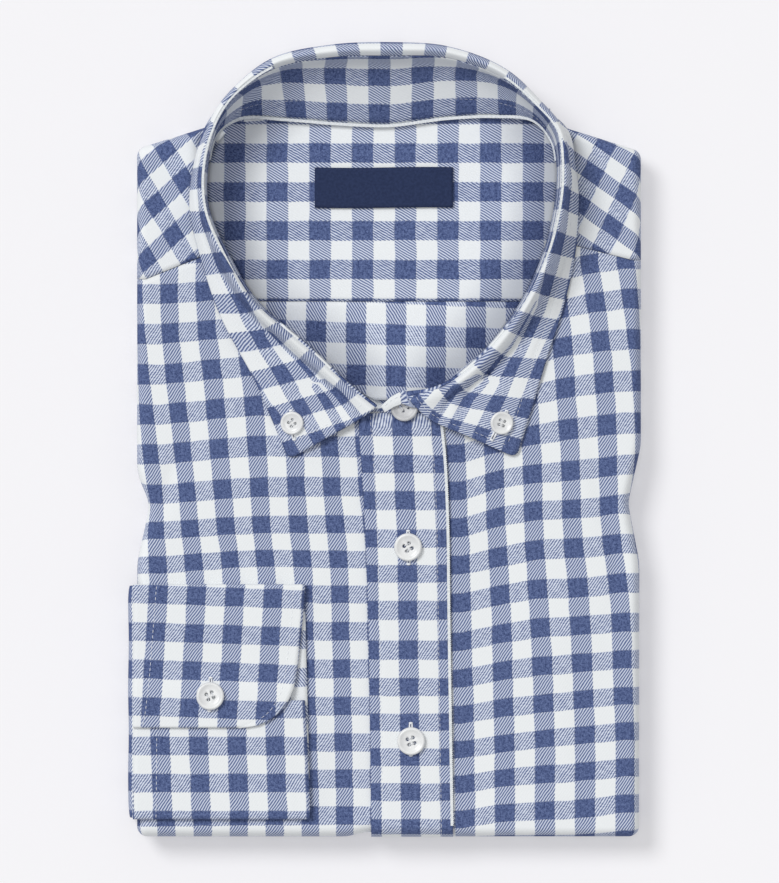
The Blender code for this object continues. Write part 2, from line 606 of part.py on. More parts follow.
def make_sleeve(cloth, into):
    low, high = CUFF_BOTTOM + SLEEVE_SHORT, CUFF_TOP - SLEEVE_SHORT
    rows = [low + SLEEVE_ENDS * share for share in SLEEVE_END_ROWS]
    rows += list(np.linspace(low + SLEEVE_ENDS, high - SLEEVE_ENDS, 8)[1:-1])
    rows += [high - SLEEVE_ENDS * share for share in SLEEVE_END_ROWS[::-1]]
    grid = []
    for y in rows:
        near = min(y - low, high - y) / SLEEVE_ENDS
        swell = SLEEVE_BULGE * (SLEEVE_END_SHARE + (1 - SLEEVE_END_SHARE) * sqrt(min(near, 1.0)))
        grid.append([(CUFF_LEFT - 2 * SEAM_GAP - reach * swell, y, z) for reach, z in SLEEVE_TURN])
    cloth_wall("sleeve", grid, SLEEVE_WALL, cloth, into)


def make_folded_layers(cloth, into, cutters):
    """The hidden layers as one solid, with the hollow of the neck cut from it."""
    corners = [(x, y + HEM_IN if y == HEM else y, radius) for x, y, radius in OUTLINE]
    points, normals = rounded_outline(corners, LAYER_STEP)
    middle = FRONT_TOP * FOLD_MIDDLE
    section = list(LAYER_SECTION)
    for degrees in LAYER_TURNS:
        turn = radians(degrees)
        inward = FOLD_DEEP - (FOLD_DEEP - LAYER_IN) * sin(turn)
        section.append((inward, middle + (CORE_TOP - middle) * cos(turn) * LAYER_TALL))
    shape = bmesh.new()
    rings = []
    for depth, height in section:
        flat = points - normals * depth
        rings.append([shape.verts.new(Vector((x, y, height)) * MM) for x, y in flat])
    for lower, upper in zip(rings, rings[1:]):
        for i in range(len(lower)):
            after = (i + 1) % len(lower)
            shape.faces.new((lower[i], lower[after], upper[after], upper[i]))
    shape.faces.new(rings[0][::-1])
    shape.faces.new(rings[-1])
    mesh = bpy.data.meshes.new("folded_layers")
    shape.to_mesh(mesh)
    shape.free()
    layers = add_object("folded_layers", mesh, cloth, into)

    shape = bmesh.new()
    flat = [shape.verts.new(Vector((x, y, NECK_FLOOR)) * MM) for x, y in HOLLOW]
    base = shape.faces.new(flat)
    raised = bmesh.ops.extrude_face_region(shape, geom=[base])["geom"]
    lifted = [item for item in raised if isinstance(item, bmesh.types.BMVert)]
    bmesh.ops.translate(shape, verts=lifted, vec=(0, 0, HOLLOW_TALL * MM))
    bmesh.ops.recalc_face_normals(shape, faces=shape.faces)
    mesh = bpy.data.meshes.new("neck_hollow")
    shape.to_mesh(mesh)
    shape.free()
    cutter = add_object("neck_hollow", mesh, cloth, cutters)
    hide_helper(cutter)
    cut = layers.modifiers.new("Neck", "BOOLEAN")
    cut.operation = "DIFFERENCE"
    cut.solver = "EXACT"
    cut.object = cutter


def hide_helper(obj):
    obj.hide_render = True
    obj.display_type = "WIRE"


def seat_on(grid, x, y):
    """The point and the upward normal of a cloth's outer face at a place in plan."""
    best, found = None, None
    for i in range(grid.shape[0] - 1):
        for j in range(grid.shape[1] - 1):
            centre = grid[i : i + 2, j : j + 2].mean(axis=(0, 1))
            gap = (centre[0] - x) ** 2 + (centre[1] - y) ** 2 - TOP_PLY * centre[2]
            if best is None or gap < best:
                best = gap
                along = grid[i + 1, j] - grid[i, j]
                across = grid[i, j + 1] - grid[i, j]
                normal = np.cross(along, across)
                normal /= np.linalg.norm(normal)
                found = (centre, normal if normal[2] > 0 else -normal)
    centre, normal = found
    height = centre[2] - (normal[0] * (x - centre[0]) + normal[1] * (y - centre[1])) / normal[2]
    return Vector((x, y, height)), Vector(normal)


def make_button(name, diameter, seat, normal, spin, plastic, into, cutters):
    """A turned four-hole button: a flat back, a rounded rim and a shallow well."""
    scale = diameter / BUTTON["large"]
    high = BUTTON["high"] * scale
    line = [(share * diameter / 2 * MM, 0, z * high * MM) for share, z in BUTTON_PROFILE[::-1]]
    mesh = bpy.data.meshes.new(name)
    mesh.from_pydata(line, [(i, i + 1) for i in range(len(line) - 1)], [])
    button = add_object(name, mesh, plastic, into)
    turned = button.modifiers.new("Turn", "SCREW")
    turned.steps = turned.render_steps = BUTTON_SIDES
    turned.use_merge_vertices = True
    turned.merge_threshold = 0.00005
    turned.use_normal_calculate = True
    facing = normal.to_track_quat("Z", "Y").to_matrix().to_4x4()
    place = Matrix.Translation((seat + normal * BUTTON_GAP) * MM) @ facing
    button.matrix_world = place @ Matrix.Rotation(radians(spin), 4, "Z")
    spread = BUTTON["spread"] * scale * MM
    hole = BUTTON["hole"] * MM
    for k in range(4):
        shape = bmesh.new()
        bmesh.ops.create_cone(
            shape, cap_ends=True, segments=HOLE_SIDES, radius1=hole, radius2=hole, depth=4 * high * MM
        )
        mesh = bpy.data.meshes.new(f"{name}_hole_{k}")
        shape.to_mesh(mesh)
        shape.free()
        drill = add_object(f"{name}_hole_{k}", mesh, plastic, cutters)
        way = radians(45 + 90 * k)
        aside = Matrix.Translation((spread * cos(way), spread * sin(way), 0))
        drill.matrix_world = button.matrix_world @ aside
        hide_helper(drill)
        cut = button.modifiers.new(f"Hole {k}", "BOOLEAN")
        cut.operation = "DIFFERENCE"
        cut.solver = "EXACT"
        cut.object = drill


def main():
    clear_scene()
    parts = collection("folded_dress_shirt")
    cutters = collection("cutters")
    cloth = material("checked_cotton", CLOTH_BLUE, 0.9)
    navy = material("label_weave", LABEL_NAVY, 0.7)
    plastic = material("button_resin", BUTTON_WHITE, 0.35)

    outline = rounded_outline(OUTLINE, PANEL_STEP)
    make_folded_layers(cloth, parts, cutters)
    make_neck_floor(cloth, navy, parts)
    make_fronts(outline, cloth, parts)
    make_yoke_outer(outline, cloth, parts)
    faces = {"placket": make_placket(cloth, parts), "cuff": make_cuff(cloth, parts)}
    make_sleeve(cloth, parts)
    faces["leaf"] = make_collar(cloth, parts)

    for name, x, y, size, carrier, spin in BUTTONS:
        seat, normal = seat_on(faces[carrier], x, y)
        make_button(name, BUTTON[size], seat, normal, spin, plastic, parts, cutters)
    seat, normal = Vector(BAND_BUTTON["centre"]), Vector(BAND_BUTTON["normal"]).normalized()
    make_button("button_band", BUTTON["small"], seat, normal, BAND_BUTTON["turn"], plastic, parts, cutters)


main()
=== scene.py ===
from math import ceil, cos, pi, radians, sin, tan

import bmesh
import bpy
import numpy as np
from mathutils import Matrix, Vector


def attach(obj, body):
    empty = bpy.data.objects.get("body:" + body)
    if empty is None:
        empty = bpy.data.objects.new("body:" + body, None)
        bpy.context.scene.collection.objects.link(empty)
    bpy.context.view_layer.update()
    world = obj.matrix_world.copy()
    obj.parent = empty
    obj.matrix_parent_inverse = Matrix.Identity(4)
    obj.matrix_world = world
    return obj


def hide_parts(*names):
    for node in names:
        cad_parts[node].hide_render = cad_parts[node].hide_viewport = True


# Sizes are in millimetres, heights are over the surface the shirt lies on.
# Left and right in names are the wearer's, so the right front lies at -x.
mm = 0.001

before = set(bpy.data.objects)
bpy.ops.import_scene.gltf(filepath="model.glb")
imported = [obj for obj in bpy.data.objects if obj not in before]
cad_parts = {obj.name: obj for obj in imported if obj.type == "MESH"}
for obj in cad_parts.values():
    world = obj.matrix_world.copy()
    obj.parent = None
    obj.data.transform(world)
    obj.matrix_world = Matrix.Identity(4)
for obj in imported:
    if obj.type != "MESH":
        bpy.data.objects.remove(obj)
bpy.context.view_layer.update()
print("frame loaded")


# curves and outlines
def curveThrough(points, steps):
    # centripetal Catmull-Rom, with a number of steps in each span
    points = np.array(points, float)
    padded = np.vstack([2 * points[0] - points[1], points, 2 * points[-1] - points[-2]])
    made = []
    for i in range(1, len(padded) - 2):
        span = padded[i - 1 : i + 3]
        gaps = np.sqrt(np.linalg.norm(np.diff(span, axis=0), axis=1)) + 1e-9
        knots = np.concatenate([[0], np.cumsum(gaps)])
        at = (knots[1] + (knots[2] - knots[1]) * np.arange(steps) / steps)[:, None]

        def blend(pair, start, end):
            return (pair[0] * (knots[end] - at) + pair[1] * (at - knots[start])) / (knots[end] - knots[start])

        lines = [blend(span[k : k + 2], k, k + 1) for k in range(3)]
        bends = [blend(lines[k : k + 2], k, k + 2) for k in range(2)]
        made.append(blend(bends, 1, 2))
    made.append(points[-1:])
    return np.vstack(made)


def runOf(path):
    # how far each place of a line is from its start
    return np.concatenate([[0], np.cumsum(np.linalg.norm(np.diff(path, axis=0), axis=1))])


def runAcross(grid):
    # how far each place of a grid is from the grid's first column
    lengths = np.linalg.norm(np.diff(grid, axis=1), axis=2)
    return np.concatenate([np.zeros((len(grid), 1)), np.cumsum(lengths, axis=1)], axis=1)


def together(*parts):
    # points from their coordinates, which may be single numbers
    return np.stack(np.broadcast_arrays(*parts), -1)


def pointsAlong(path, shares):
    runs = runOf(path)
    return np.stack([np.interp(np.asarray(shares) * runs[-1], runs, column) for column in path.T], -1)


def smoothStep(value, start, end):
    share = np.clip((value - start) / (end - start), 0, 1)
    return share * share * (3 - 2 * share)


def lengthOne(vectors):
    return vectors / np.linalg.norm(vectors, axis=-1, keepdims=True)


def roundedOutline(corners, longest):
    # points along the outline at most longest apart, and the outward normal at each
    loop = []
    for i, (*here, radius) in enumerate(corners):
        here = np.array(here)
        last = lengthOne(np.array(corners[i - 1][:2]) - here)
        following = lengthOne(np.array(corners[(i + 1) % len(corners)][:2]) - here)
        turn = pi - np.arccos(np.clip(last @ following, -1, 1))
        if radius == 0 or turn < 0.01:
            loop.append(here)
            continue
        middle = lengthOne(last + following)
        centre = here + middle * radius / cos(turn / 2)
        start = here + last * radius * tan(turn / 2) - centre
        end = here + following * radius * tan(turn / 2) - centre
        steps = max(2, ceil(turn / radians(9)))
        for step in range(steps + 1):
            share = step / steps
            loop.append(centre + (start * sin((1 - share) * turn) + end * sin(share * turn)) / sin(turn))
    dense = []
    for i, point in enumerate(loop):
        after = loop[(i + 1) % len(loop)]
        pieces = max(1, ceil(np.linalg.norm(after - point) / longest))
        dense += [point + (after - point) * k / pieces for k in range(pieces)]
    dense = np.array(dense)
    ahead = np.roll(dense, -1, axis=0) - dense
    behind = dense - np.roll(dense, 1, axis=0)
    tangent = lengthOne(lengthOne(ahead) + lengthOne(behind))
    return dense, np.stack([tangent[:, 1], -tangent[:, 0]], axis=1)


def outlineRun(start, end):
    # the stretch of the body's outline between the points nearest to two places
    points, normals = outline
    first, last = (int(np.argmin(np.linalg.norm(points - place, axis=1))) for place in (start, end))
    if last <= first:
        last += len(points)
    picked = np.arange(first, last + 1) % len(points)
    return points[picked], normals[picked]


# the folded body
body = {
    "side": 110.9, "hem": -174.5, "frontTop": 22.6, "backTop": 12.0,
    "foldDeep": 4.0, "foldMiddle": 0.69, "foldTurn": 150,
    "thinDeep": 2.4, "thinMiddle": 0.82, "thinTurn": 0.7,
    "rightSeam": 70.8, "leftSeam": 79.2, "placketFoot": (-8.0, 28.4), "seamGap": 0.16,
    "fallX": (73.0, 88.0), "fallY": (116.0, 136.0),
}
outlineCorners = (  # x, y, radius
    (0, 145, 0), (-60, 144.6, 20), (-71, 142.4, 20), (-79.9, 138, 20), (-88.4, 135.2, 12),
    (-110.9, 128.2, 4.8), (-110.9, 70.8, 0), (-110.9, -15, 26), (-105.2, -28.2, 14), (-110.8, -53.7, 26),
    (-110.9, -174.5, 4.6), (-8, -174.5, 0), (28.4, -174.5, 0), (110.1, -174.5, 4.6), (110.2, -53.7, 26),
    (105.2, -27.7, 14), (110.9, -2.6, 26), (110.9, 79.2, 0), (110.9, 127, 4.8), (86.2, 134.8, 12),
    (78.5, 137.2, 20), (70.4, 141.8, 20), (60, 144.6, 20),
)
outline = roundedOutline(outlineCorners, 2.6)

# main creases: x, y, direction, half length, half width, height
creases = (
    (-58, -12, 80, 28, 26, 0.8), (66, -96, 85, 60, 24, 0.8), (90, 30, 80, 26, 9, 0.5),
    (-97, -20, 72, 22, 3.6, -0.9), (94, -26, 100, 24, 4.2, -0.9), (100, -62, 82, 20, 3.6, -0.5),
    (-88, 22, 96, 26, 3, -0.35), (-66, -50, 112, 20, 4, -0.3), (-24, -70, 92, 40, 3.4, -0.3),
    (-30, -140, 88, 26, 5, 0.35), (48, -50, 86, 34, 5, -0.3), (84, -130, 94, 36, 4, -0.35),
    (60, -160, 10, 30, 4, 0.25), (-98, 96, 62, 16, 4, 0.4), (99, 108, 118, 16, 4, 0.4),
)


def crumple(x, y):
    # the slight unevenness of brushed cloth that has been folded
    height = 0.10 * np.sin(x / 7.3 + y / 31.0) + 0.08 * np.sin(y / 9.1 - x / 23.0 + 1.7)
    return height + 0.06 * np.sin(x / 3.9 + y / 5.7 + 0.6)


def clothTop(x, y):
    # height of the fronts and the outer yoke
    height = body["frontTop"] + crumple(x, y) - 0.1
    for atX, atY, direction, halfLength, halfWidth, rise in creases:
        way = radians(direction)
        along = (x - atX) * cos(way) + (y - atY) * sin(way)
        across = -(x - atX) * sin(way) + (y - atY) * cos(way)
        height = height + rise * np.exp(-((along / halfLength) ** 2) - (across / halfWidth) ** 2)
    # behind the neck the cloth is thin and goes under the collar
    lowered = (1 - smoothStep(np.abs(x), *body["fallX"])) * smoothStep(y, *body["fallY"])
    return height - (body["frontTop"] - body["backTop"]) * lowered


def panelGrid(part, neck, matches, facts):
    # rows follow the outline, columns run from the neck edge over the top and round the fold
    # matches pair shares of the outline's length with shares of the neck edge's length
    points, normals = part
    runs = runOf(points)
    shares = np.interp(runs / runs[-1], *zip(*matches))
    start = pointsAlong(neck, shares)
    probe = points - normals * body["foldDeep"]
    full = (clothTop(probe[:, 0], probe[:, 1]) - body["backTop"]) / (body["frontTop"] - body["backTop"])
    full = np.clip(full, 0, 1)
    deep = body["thinDeep"] + (body["foldDeep"] - body["thinDeep"]) * full
    drawnIn = facts["sink"] * smoothStep(points[:, 0], *facts["sinkX"]) if "sink" in facts else 0 * deep
    edge = points - normals * (deep + drawnIn)[:, None]
    step = np.linspace(0, 1, facts["columns"] + 1)[None, :, None]
    flat = start[:, None] + (edge - start)[:, None] * step
    height = clothTop(flat[..., 0], flat[..., 1])
    top = clothTop(edge[:, 0], edge[:, 1])
    middle = top * (body["thinMiddle"] + (body["foldMiddle"] - body["thinMiddle"]) * full)
    turn = np.radians(np.linspace(0, body["foldTurn"], facts["turns"] + 1)[1:])[None, :]
    turn = turn * (body["thinTurn"] + (1 - body["thinTurn"]) * full)[:, None]
    rounded = edge[:, None] + normals[:, None] * (deep[:, None] * np.sin(turn))[..., None]
    roundedHeight = middle[:, None] + (top - middle)[:, None] * np.cos(turn)
    grid = np.concatenate([np.dstack([flat, height]), np.dstack([rounded, roundedHeight])], axis=1)
    # the same points laid flat, for the weave
    arcs = np.concatenate([edge[:, None, :], rounded], axis=1)
    heights = np.concatenate([top[:, None], roundedHeight], axis=1)
    lengths = np.sqrt(np.sum(np.diff(arcs, axis=1) ** 2, axis=2) + np.diff(heights, axis=1) ** 2)
    reach = np.cumsum(lengths, axis=1)
    laid = np.concatenate([flat, edge[:, None] + normals[:, None] * reach[..., None]], axis=1)
    return grid, laid


# the check's lines on each piece
def lineNumber(lines, place):
    # the number of the dark line at a place, in between a fraction, from the places of the numbered lines
    number = (place - lines[0]) / (lines[1] - lines[0])
    for k in range(1, len(lines) - 1):
        ahead = (place - lines[k]) / (lines[k + 1] - lines[k])
        number = np.where(ahead >= 0, k + ahead, number)
    return number


def checkAcross(table, along, place):
    # the table's first column says where along the piece the others give the places of the dark lines
    dense = curveThrough(table, 6)
    dense = dense[np.argsort(dense[:, 0])]
    return lineNumber([np.interp(along, dense[:, 0], line) for line in dense.T[1:]], place)


# columns: height, then x of each dark column. rows: x of the places, then the heights of each dark row
rightCheck = {
    "columns": (
        (64.7, -112.5, -96.8, -81.1, -65, -49, -33), (47, -110.7, -96.4, -80, -63.2, -47, -31),
        (29, -109, -94.8, -77.6, -61, -45, -28.8), (11, -107, -92.7, -76.1, -58.9, -42.8, -27.2),
        (-6, -104.9, -90.9, -74.6, -57.8, -41.4, -25.9), (-24, -103, -89, -73, -56.8, -40.6, -24.9),
        (-40, -102.6, -87.6, -71.5, -56, -39.6, -23.3), (-55, -101.7, -85.8, -69.6, -54.4, -37.9, -22),
        (-84, -100.5, -84.5, -68.5, -52.8, -37, -21.3), (-117, -99.3, -83.4, -67.5, -51.7, -36, -20.4),
        (-165, -98, -82, -66, -50.4, -34.5, -19.4),
    ),
    "rows": (
        (-100, -60, -24),
        (64.2, 66.5, 68), (46.7, 49.8, 51), (28.8, 32.5, 34), (11.2, 14.9, 16), (-6.3, -2.7, -3.2),
        (-24.1, -21.1, -20.6), (-39.9, -37.7, -37.2), (-54.9, -52, -52.6), (-70.6, -67.6, -67.8),
        (-86.5, -84.3, -84.1), (-102.8, -101, -100.5), (-118.2, -117.4, -117.1), (-134.2, -133.5, -133),
        (-149.8, -149, -149), (-166, -165.4, -165.2),
    ),
}
leftCheck = {
    "columns": (
        (78, 22, 38, 55.4, 72, 88.2, 104.1), (61, 24, 40, 57, 74.4, 91, 106.7),
        (43, 26, 42.4, 59, 76.3, 93.4, 109), (25, 27.5, 44, 60.6, 77.4, 94.9, 111),
        (7, 28.8, 45.4, 62, 78.8, 95.9, 112.4), (-15, 29.9, 46.5, 63.2, 80, 96.4, 112.8),
        (-32, 30.4, 46.9, 63.4, 80.4, 96.9, 113), (-50, 31.2, 48, 64.1, 81.6, 98.9, 115),
        (-66, 31.5, 49, 65.2, 83.2, 101.3, 117.2), (-84, 31.9, 49.7, 66.5, 84.2, 102.6, 118.6),
        (-100, 32.3, 49.9, 67.4, 85, 102.8, 119.2), (-116, 32.8, 50.3, 68, 85.6, 103.5, 120),
        (-132, 33, 50.8, 68.5, 86.2, 104.1, 120.6), (-164, 33.5, 51, 68.5, 86.2, 104, 120.8),
    ),
    "rows": (
        (32, 49, 66, 84, 103),
        (59, 66, 71.5, 76.5, 79.6), (42.7, 49, 54.5, 59.3, 62.1), (26.4, 32.6, 38.3, 42.4, 44.3),
        (10.1, 16, 20.6, 23.9, 26.1), (-6, -1.2, 2.4, 5.3, 7.4), (-22.4, -17.3, -14.9, -13.4, -11.1),
        (-38.6, -33.6, -30.9, -30.2, -27.9), (-55.1, -51.6, -48.3, -47.4, -45.5),
        (-71.7, -68.2, -65.6, -65.2, -62.8), (-89, -85.4, -82.8, -81.6, -80.4),
        (-105, -101.6, -99.5, -98.2, -96.4), (-121, -118.1, -116.4, -114.3, -112.7),
        (-136.3, -133.8, -131.5, -129.9, -128), (-151.5, -148.8, -147.2, -146, -144.1),
        (-167, -164.2, -163.2, -162.3, -159.9),
    ),
}
placketCheck = {"wide": 17.2, "firstRow": 60, "centre": ((-171.6, 9.7), (-44.0, 7.9), (5.7, 5.7))}
placketRows = (5.7, -10.6, -26.4, -43.6, -58.7, -74.7, -92.6, -108.7, -124.1, -139.5, -154.7, -170.7, -187.0)


def frontWeave(laid, check):
    x, y = laid[..., 0], laid[..., 1]
    return np.dstack([checkAcross(check["columns"], y, x), -checkAcross(list(zip(*check["rows"])), x, y)])


def slantWeave(laid, crossing, along, across):
    # a crossing of two dark lines, and the steps to the next crossings
    return np.einsum("ab,ijb->ija", np.linalg.inv(np.array([along, across]).T), laid - crossing)


def squareWeave(x, y, crossing, square, lean=(0, 0)):
    # a crossing of two dark lines, the width and height of a check, how much its columns and rows lean
    x, y = x - crossing[0], y - crossing[1]
    return together((x + lean[0] * y) / square[0], (y + lean[1] * x) / square[1])


# paint
class Wire:
    # a socket of a material's tree, with arithmetic
    def __init__(self, tree, socket):
        self.tree, self.socket = tree, socket

    def join(self, operation, first, second):
        return make(self.tree, "ShaderNodeMath", {"operation": operation}, {0: first, 1: second})

    def __add__(self, other):
        return self.join("ADD", self, other)

    def __sub__(self, other):
        return self.join("SUBTRACT", self, other)

    def __rsub__(self, other):
        return self.join("SUBTRACT", other, self)

    def __mul__(self, other):
        return self.join("MULTIPLY", self, other)

    __radd__, __rmul__ = __add__, __mul__

    def away(self, length=0.5):
        return self.join("PINGPONG", self, length)

    def between(self, start, end):
        settings = {"clamp": True, "interpolation_type": "SMOOTHSTEP"}
        values = {"Value": self, "From Min": start, "From Max": end}
        return make(self.tree, "ShaderNodeMapRange", settings, values)


def make(tree, kind, settings=None, values=None, out=0):
    node = tree.nodes.new(kind)
    for key, value in (settings or {}).items():
        setattr(node, key, value)
    for key, value in (values or {}).items():
        if isinstance(value, Wire):
            tree.links.new(value.socket, node.inputs[key])
        else:
            node.inputs[key].default_value = value
    return Wire(tree, node.outputs[out])


def mixColour(tree, share, first, second):
    # inputs 6 and 7 and output 2 are the colour ones
    return make(tree, "ShaderNodeMix", {"data_type": "RGBA"}, {0: share, 6: first, 7: second}, 2)


def startMaterial(name):
    material = bpy.data.materials.new(name)
    material.use_nodes = True
    tree = material.node_tree
    return material, tree, tree.nodes["Principled BSDF"]


cloth = {
    "deep": (0.036, 0.056, 0.150, 1),
    "pale": (0.132, 0.178, 0.350, 1),
    "halfDeep": (0.046, 0.078, 0.210, 1),
    "halfPale": (0.090, 0.130, 0.300, 1),
    "halfWhite": (0.77, 0.825, 0.93, 1),
    "white": (0.83, 0.855, 0.865, 1),
    "greyWhite": (0.785, 0.81, 0.83, 1),
    "warpDark": 0.62,     # dark share of the squares where a dark column crosses a light row
    "weftDark": 0.52,     # and where a dark row crosses a light column
    "deepShadeColour": (0.55, 0.56, 0.60, 1),   # painted shade: what is left of the colour deepest in the neck
    "roughness": 0.92,
    "specular": 0.15,
    "square": 17.0,       # usual width of one check
    "squareEdge": (0.262, 0.242),   # where a dark square ends, in checks from its middle
    "stray": 0.045,       # how far that edge strays
    "twillSoft": 0.27,    # softness of the twill's lines
    "threadShare": 0.98,  # twill's unit where a piece gives only its check
}


def twoParts(tree, vector):
    parts = tree.nodes.new("ShaderNodeSeparateXYZ")
    tree.links.new(vector.socket, parts.inputs[0])
    return Wire(tree, parts.outputs[0]), Wire(tree, parts.outputs[1])


def checkedCloth(name, twillAngle, twillCount, warpDark, weftDark, paintedLight):
    # twillCount: twill lines in the width of one check; the last argument lightens the whole cloth as painted
    # light
    material, tree, shader = startMaterial(name)
    place = make(tree, "ShaderNodeUVMap", {"uv_map": "threads"})
    u, v = twoParts(tree, make(tree, "ShaderNodeUVMap", {"uv_map": "cloth"}))
    threadU, threadV = twoParts(tree, place)

    def noise(scale, detail, stretch=None):
        vector = place
        if stretch:
            vector = make(tree, "ShaderNodeVectorMath", {"operation": "MULTIPLY"}, {0: place, 1: stretch})
        values = {"Vector": vector, "Scale": scale, "Detail": detail}
        return make(tree, "ShaderNodeTexNoise", {"noise_dimensions": "2D"}, values)

    way = radians(twillAngle)
    lines = threadU * (-sin(way) * twillCount) + threadV * (cos(way) * twillCount)
    twill = (lines + noise(3.0, 2.0) * 0.7).away()
    bent = (noise(1.7, 2.0) - 0.5) * cloth["stray"] + (twill - 0.25) * 0.05
    darkColumn = (u + bent).away().between(*cloth["squareEdge"])
    darkRow = (v - bent).away().between(*cloth["squareEdge"])
    both = darkColumn * darkRow
    either = darkColumn + darkRow - both * 2.0
    blotches = noise(13.0, 2.0).between(0.32, 0.68)
    flecks = noise(29.0, 1.0).between(0.3, 0.7)
    heather = blotches * 0.45 + flecks * 0.55
    # dark rows show streaks of their own yarn, dark columns less so
    streaks = noise(1.0, 1.0, (5.0, 34.0, 1.0)).between(0.3, 0.7)
    share = darkColumn * (warpDark / 2) + (1 - darkColumn) * ((streaks - 0.5) * 0.12 + weftDark / 2)
    light = (twill - share).between(-cloth["twillSoft"], cloth["twillSoft"])
    dark = mixColour(tree, heather, cloth["deep"], cloth["pale"])
    threads = mixColour(tree, heather, cloth["halfDeep"], cloth["halfPale"])
    half = mixColour(tree, light, threads, cloth["halfWhite"])
    white = mixColour(tree, heather * 0.5 + twill, cloth["greyWhite"], cloth["white"])
    colour = mixColour(tree, both, mixColour(tree, either, white, half), dark)
    # painted shade: the depth attribute darkens the colour toward the deep shade colour near the neck's walls
    depth = make(tree, "ShaderNodeAttribute", {"attribute_name": "depth"}, None, 2)
    # the cloth's last argument lightens its colour everywhere as painted light
    paintedLightShade = mixColour(tree, depth, (paintedLight, paintedLight, paintedLight, 1), cloth["deepShadeColour"])
    colour = make(tree, "ShaderNodeVectorMath", {"operation": "MULTIPLY"}, {0: colour, 1: paintedLightShade})
    tree.links.new(colour.socket, shader.inputs["Base Color"])
    shader.inputs["Roughness"].default_value = cloth["roughness"]
    shader.inputs["Specular IOR Level"].default_value = cloth["specular"]
    relief = twill * 1.2 + heather * 0.5
    bump = make(tree, "ShaderNodeBump", None, {"Strength": 0.25, "Distance": 0.00015, "Height": relief})
    tree.links.new(bump.socket, shader.inputs["Normal"])
    return material


def plainMaterial(name, first, second, roughness, scale, strength=0.2):
    material, tree, shader = startMaterial(name)
    place = make(tree, "ShaderNodeTexCoord", None, None, 3)
    grain = make(tree, "ShaderNodeTexNoise", None, {"Vector": place, "Scale": scale, "Detail": 3.0})
    colour = mixColour(tree, grain.between(0.3, 0.7), first, second)
    tree.links.new(colour.socket, shader.inputs["Base Color"])
    shader.inputs["Roughness"].default_value = roughness
    bump = make(tree, "ShaderNodeBump", None, {"Strength": strength, "Distance": 0.0001, "Height": grain})
    tree.links.new(bump.socket, shader.inputs["Normal"])
    return material


# the last number is painted light: the inside and back cloths are painted lighter than the outside
outsideCloth = checkedCloth("outsideCloth", 56, 16.3, cloth["warpDark"], cloth["weftDark"], 1.0)
insideCloth = checkedCloth("insideCloth", 146, 17.6, cloth["weftDark"] + 0.045, cloth["warpDark"], 1.05)
backCloth = checkedCloth("backCloth", 123, 16.6, cloth["warpDark"] - 0.02, cloth["weftDark"] - 0.08, 1.06)
labelCloth = plainMaterial("labelCloth", (0.011, 0.022, 0.070, 1), (0.018, 0.032, 0.092, 1), 0.95, 900)
# light edgings, and the painted highlight under the collar's crest
edgeAndHighlightCloth = plainMaterial("edgeAndHighlightCloth", (0.62, 0.66, 0.70, 1), (0.84, 0.86, 0.86, 1), 0.9, 1400)
resinShaded = plainMaterial("resinShaded", (0.46, 0.465, 0.48, 1), (0.60, 0.605, 0.615, 1), 0.4, 180, 0.05)
resin = plainMaterial("resin", (0.70, 0.71, 0.72, 1), (0.80, 0.81, 0.81, 1), 0.28, 260, 0.05)
threadWhite = plainMaterial("threadWhite", (0.74, 0.77, 0.82, 1), (0.88, 0.89, 0.91, 1), 0.7, 1500)
# painted shade for the buttonholes' cuts
slitShade = plainMaterial("slitShade", (0.05, 0.055, 0.08, 1), (0.09, 0.1, 0.14, 1), 0.95, 1200)
print("materials made")


# making pieces
def place(name, data):
    # a new thing in the scene
    thing = bpy.data.objects.new(name, data)
    bpy.context.scene.collection.objects.link(thing)
    return thing


def meshFrom(name, shape):
    mesh = bpy.data.meshes.new(name)
    shape.to_mesh(mesh)
    shape.free()
    return mesh


def cutOut(piece, cutters):
    for cutter in cutters:
        cut = piece.modifiers.new("Cut", "BOOLEAN")
        cut.operation, cut.solver, cut.object = "DIFFERENCE", "EXACT", cutter
    bpy.context.view_layer.update()
    settled = piece.evaluated_get(bpy.context.evaluated_depsgraph_get())
    piece.data = bpy.data.meshes.new_from_object(settled)
    piece.modifiers.clear()
    for cutter in cutters:
        bpy.data.objects.remove(cutter, do_unlink=True)


def addPiece(name, mesh, material, node=None):
    piece = place(name, mesh)
    mesh.materials.append(material)
    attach(piece, "root")
    if node:
        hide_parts(node)
    return piece


def gridMesh(name, grid, weave=None, turnedOver=False, threads=None, depth=None):
    rows, columns = grid.shape[:2]
    index = np.arange(rows * columns).reshape(rows, columns)
    corners = [index[:-1, :-1], index[1:, :-1], index[1:, 1:], index[:-1, 1:]]
    if turnedOver:
        corners = corners[::-1]
    faces = np.stack(corners, -1).reshape(-1, 4)
    mesh = bpy.data.meshes.new(name)
    mesh.from_pydata(grid.reshape(-1, 3) * mm, [], faces.tolist())
    if weave is not None:
        onFaces = weave.reshape(-1, 2)[faces]
        # the check repeats, so each face takes the nearest repeat at its corners
        onFaces = onFaces - np.round(onFaces - onFaces[:, :1])
        fine = weave * cloth["threadShare"] if threads is None else threads
        for layerName, values in (("cloth", onFaces), ("threads", fine.reshape(-1, 2)[faces])):
            layer = mesh.uv_layers.new(name=layerName)
            layer.uv.foreach_set("vector", values.astype(np.float32).reshape(-1))
    # the depth attribute holds how much painted shade each point gets
    if depth is not None:
        values = mesh.attributes.new("depth", "FLOAT", "POINT")
        values.data.foreach_set("value", depth.astype(np.float32).reshape(-1))
    mesh.shade_smooth()
    return mesh


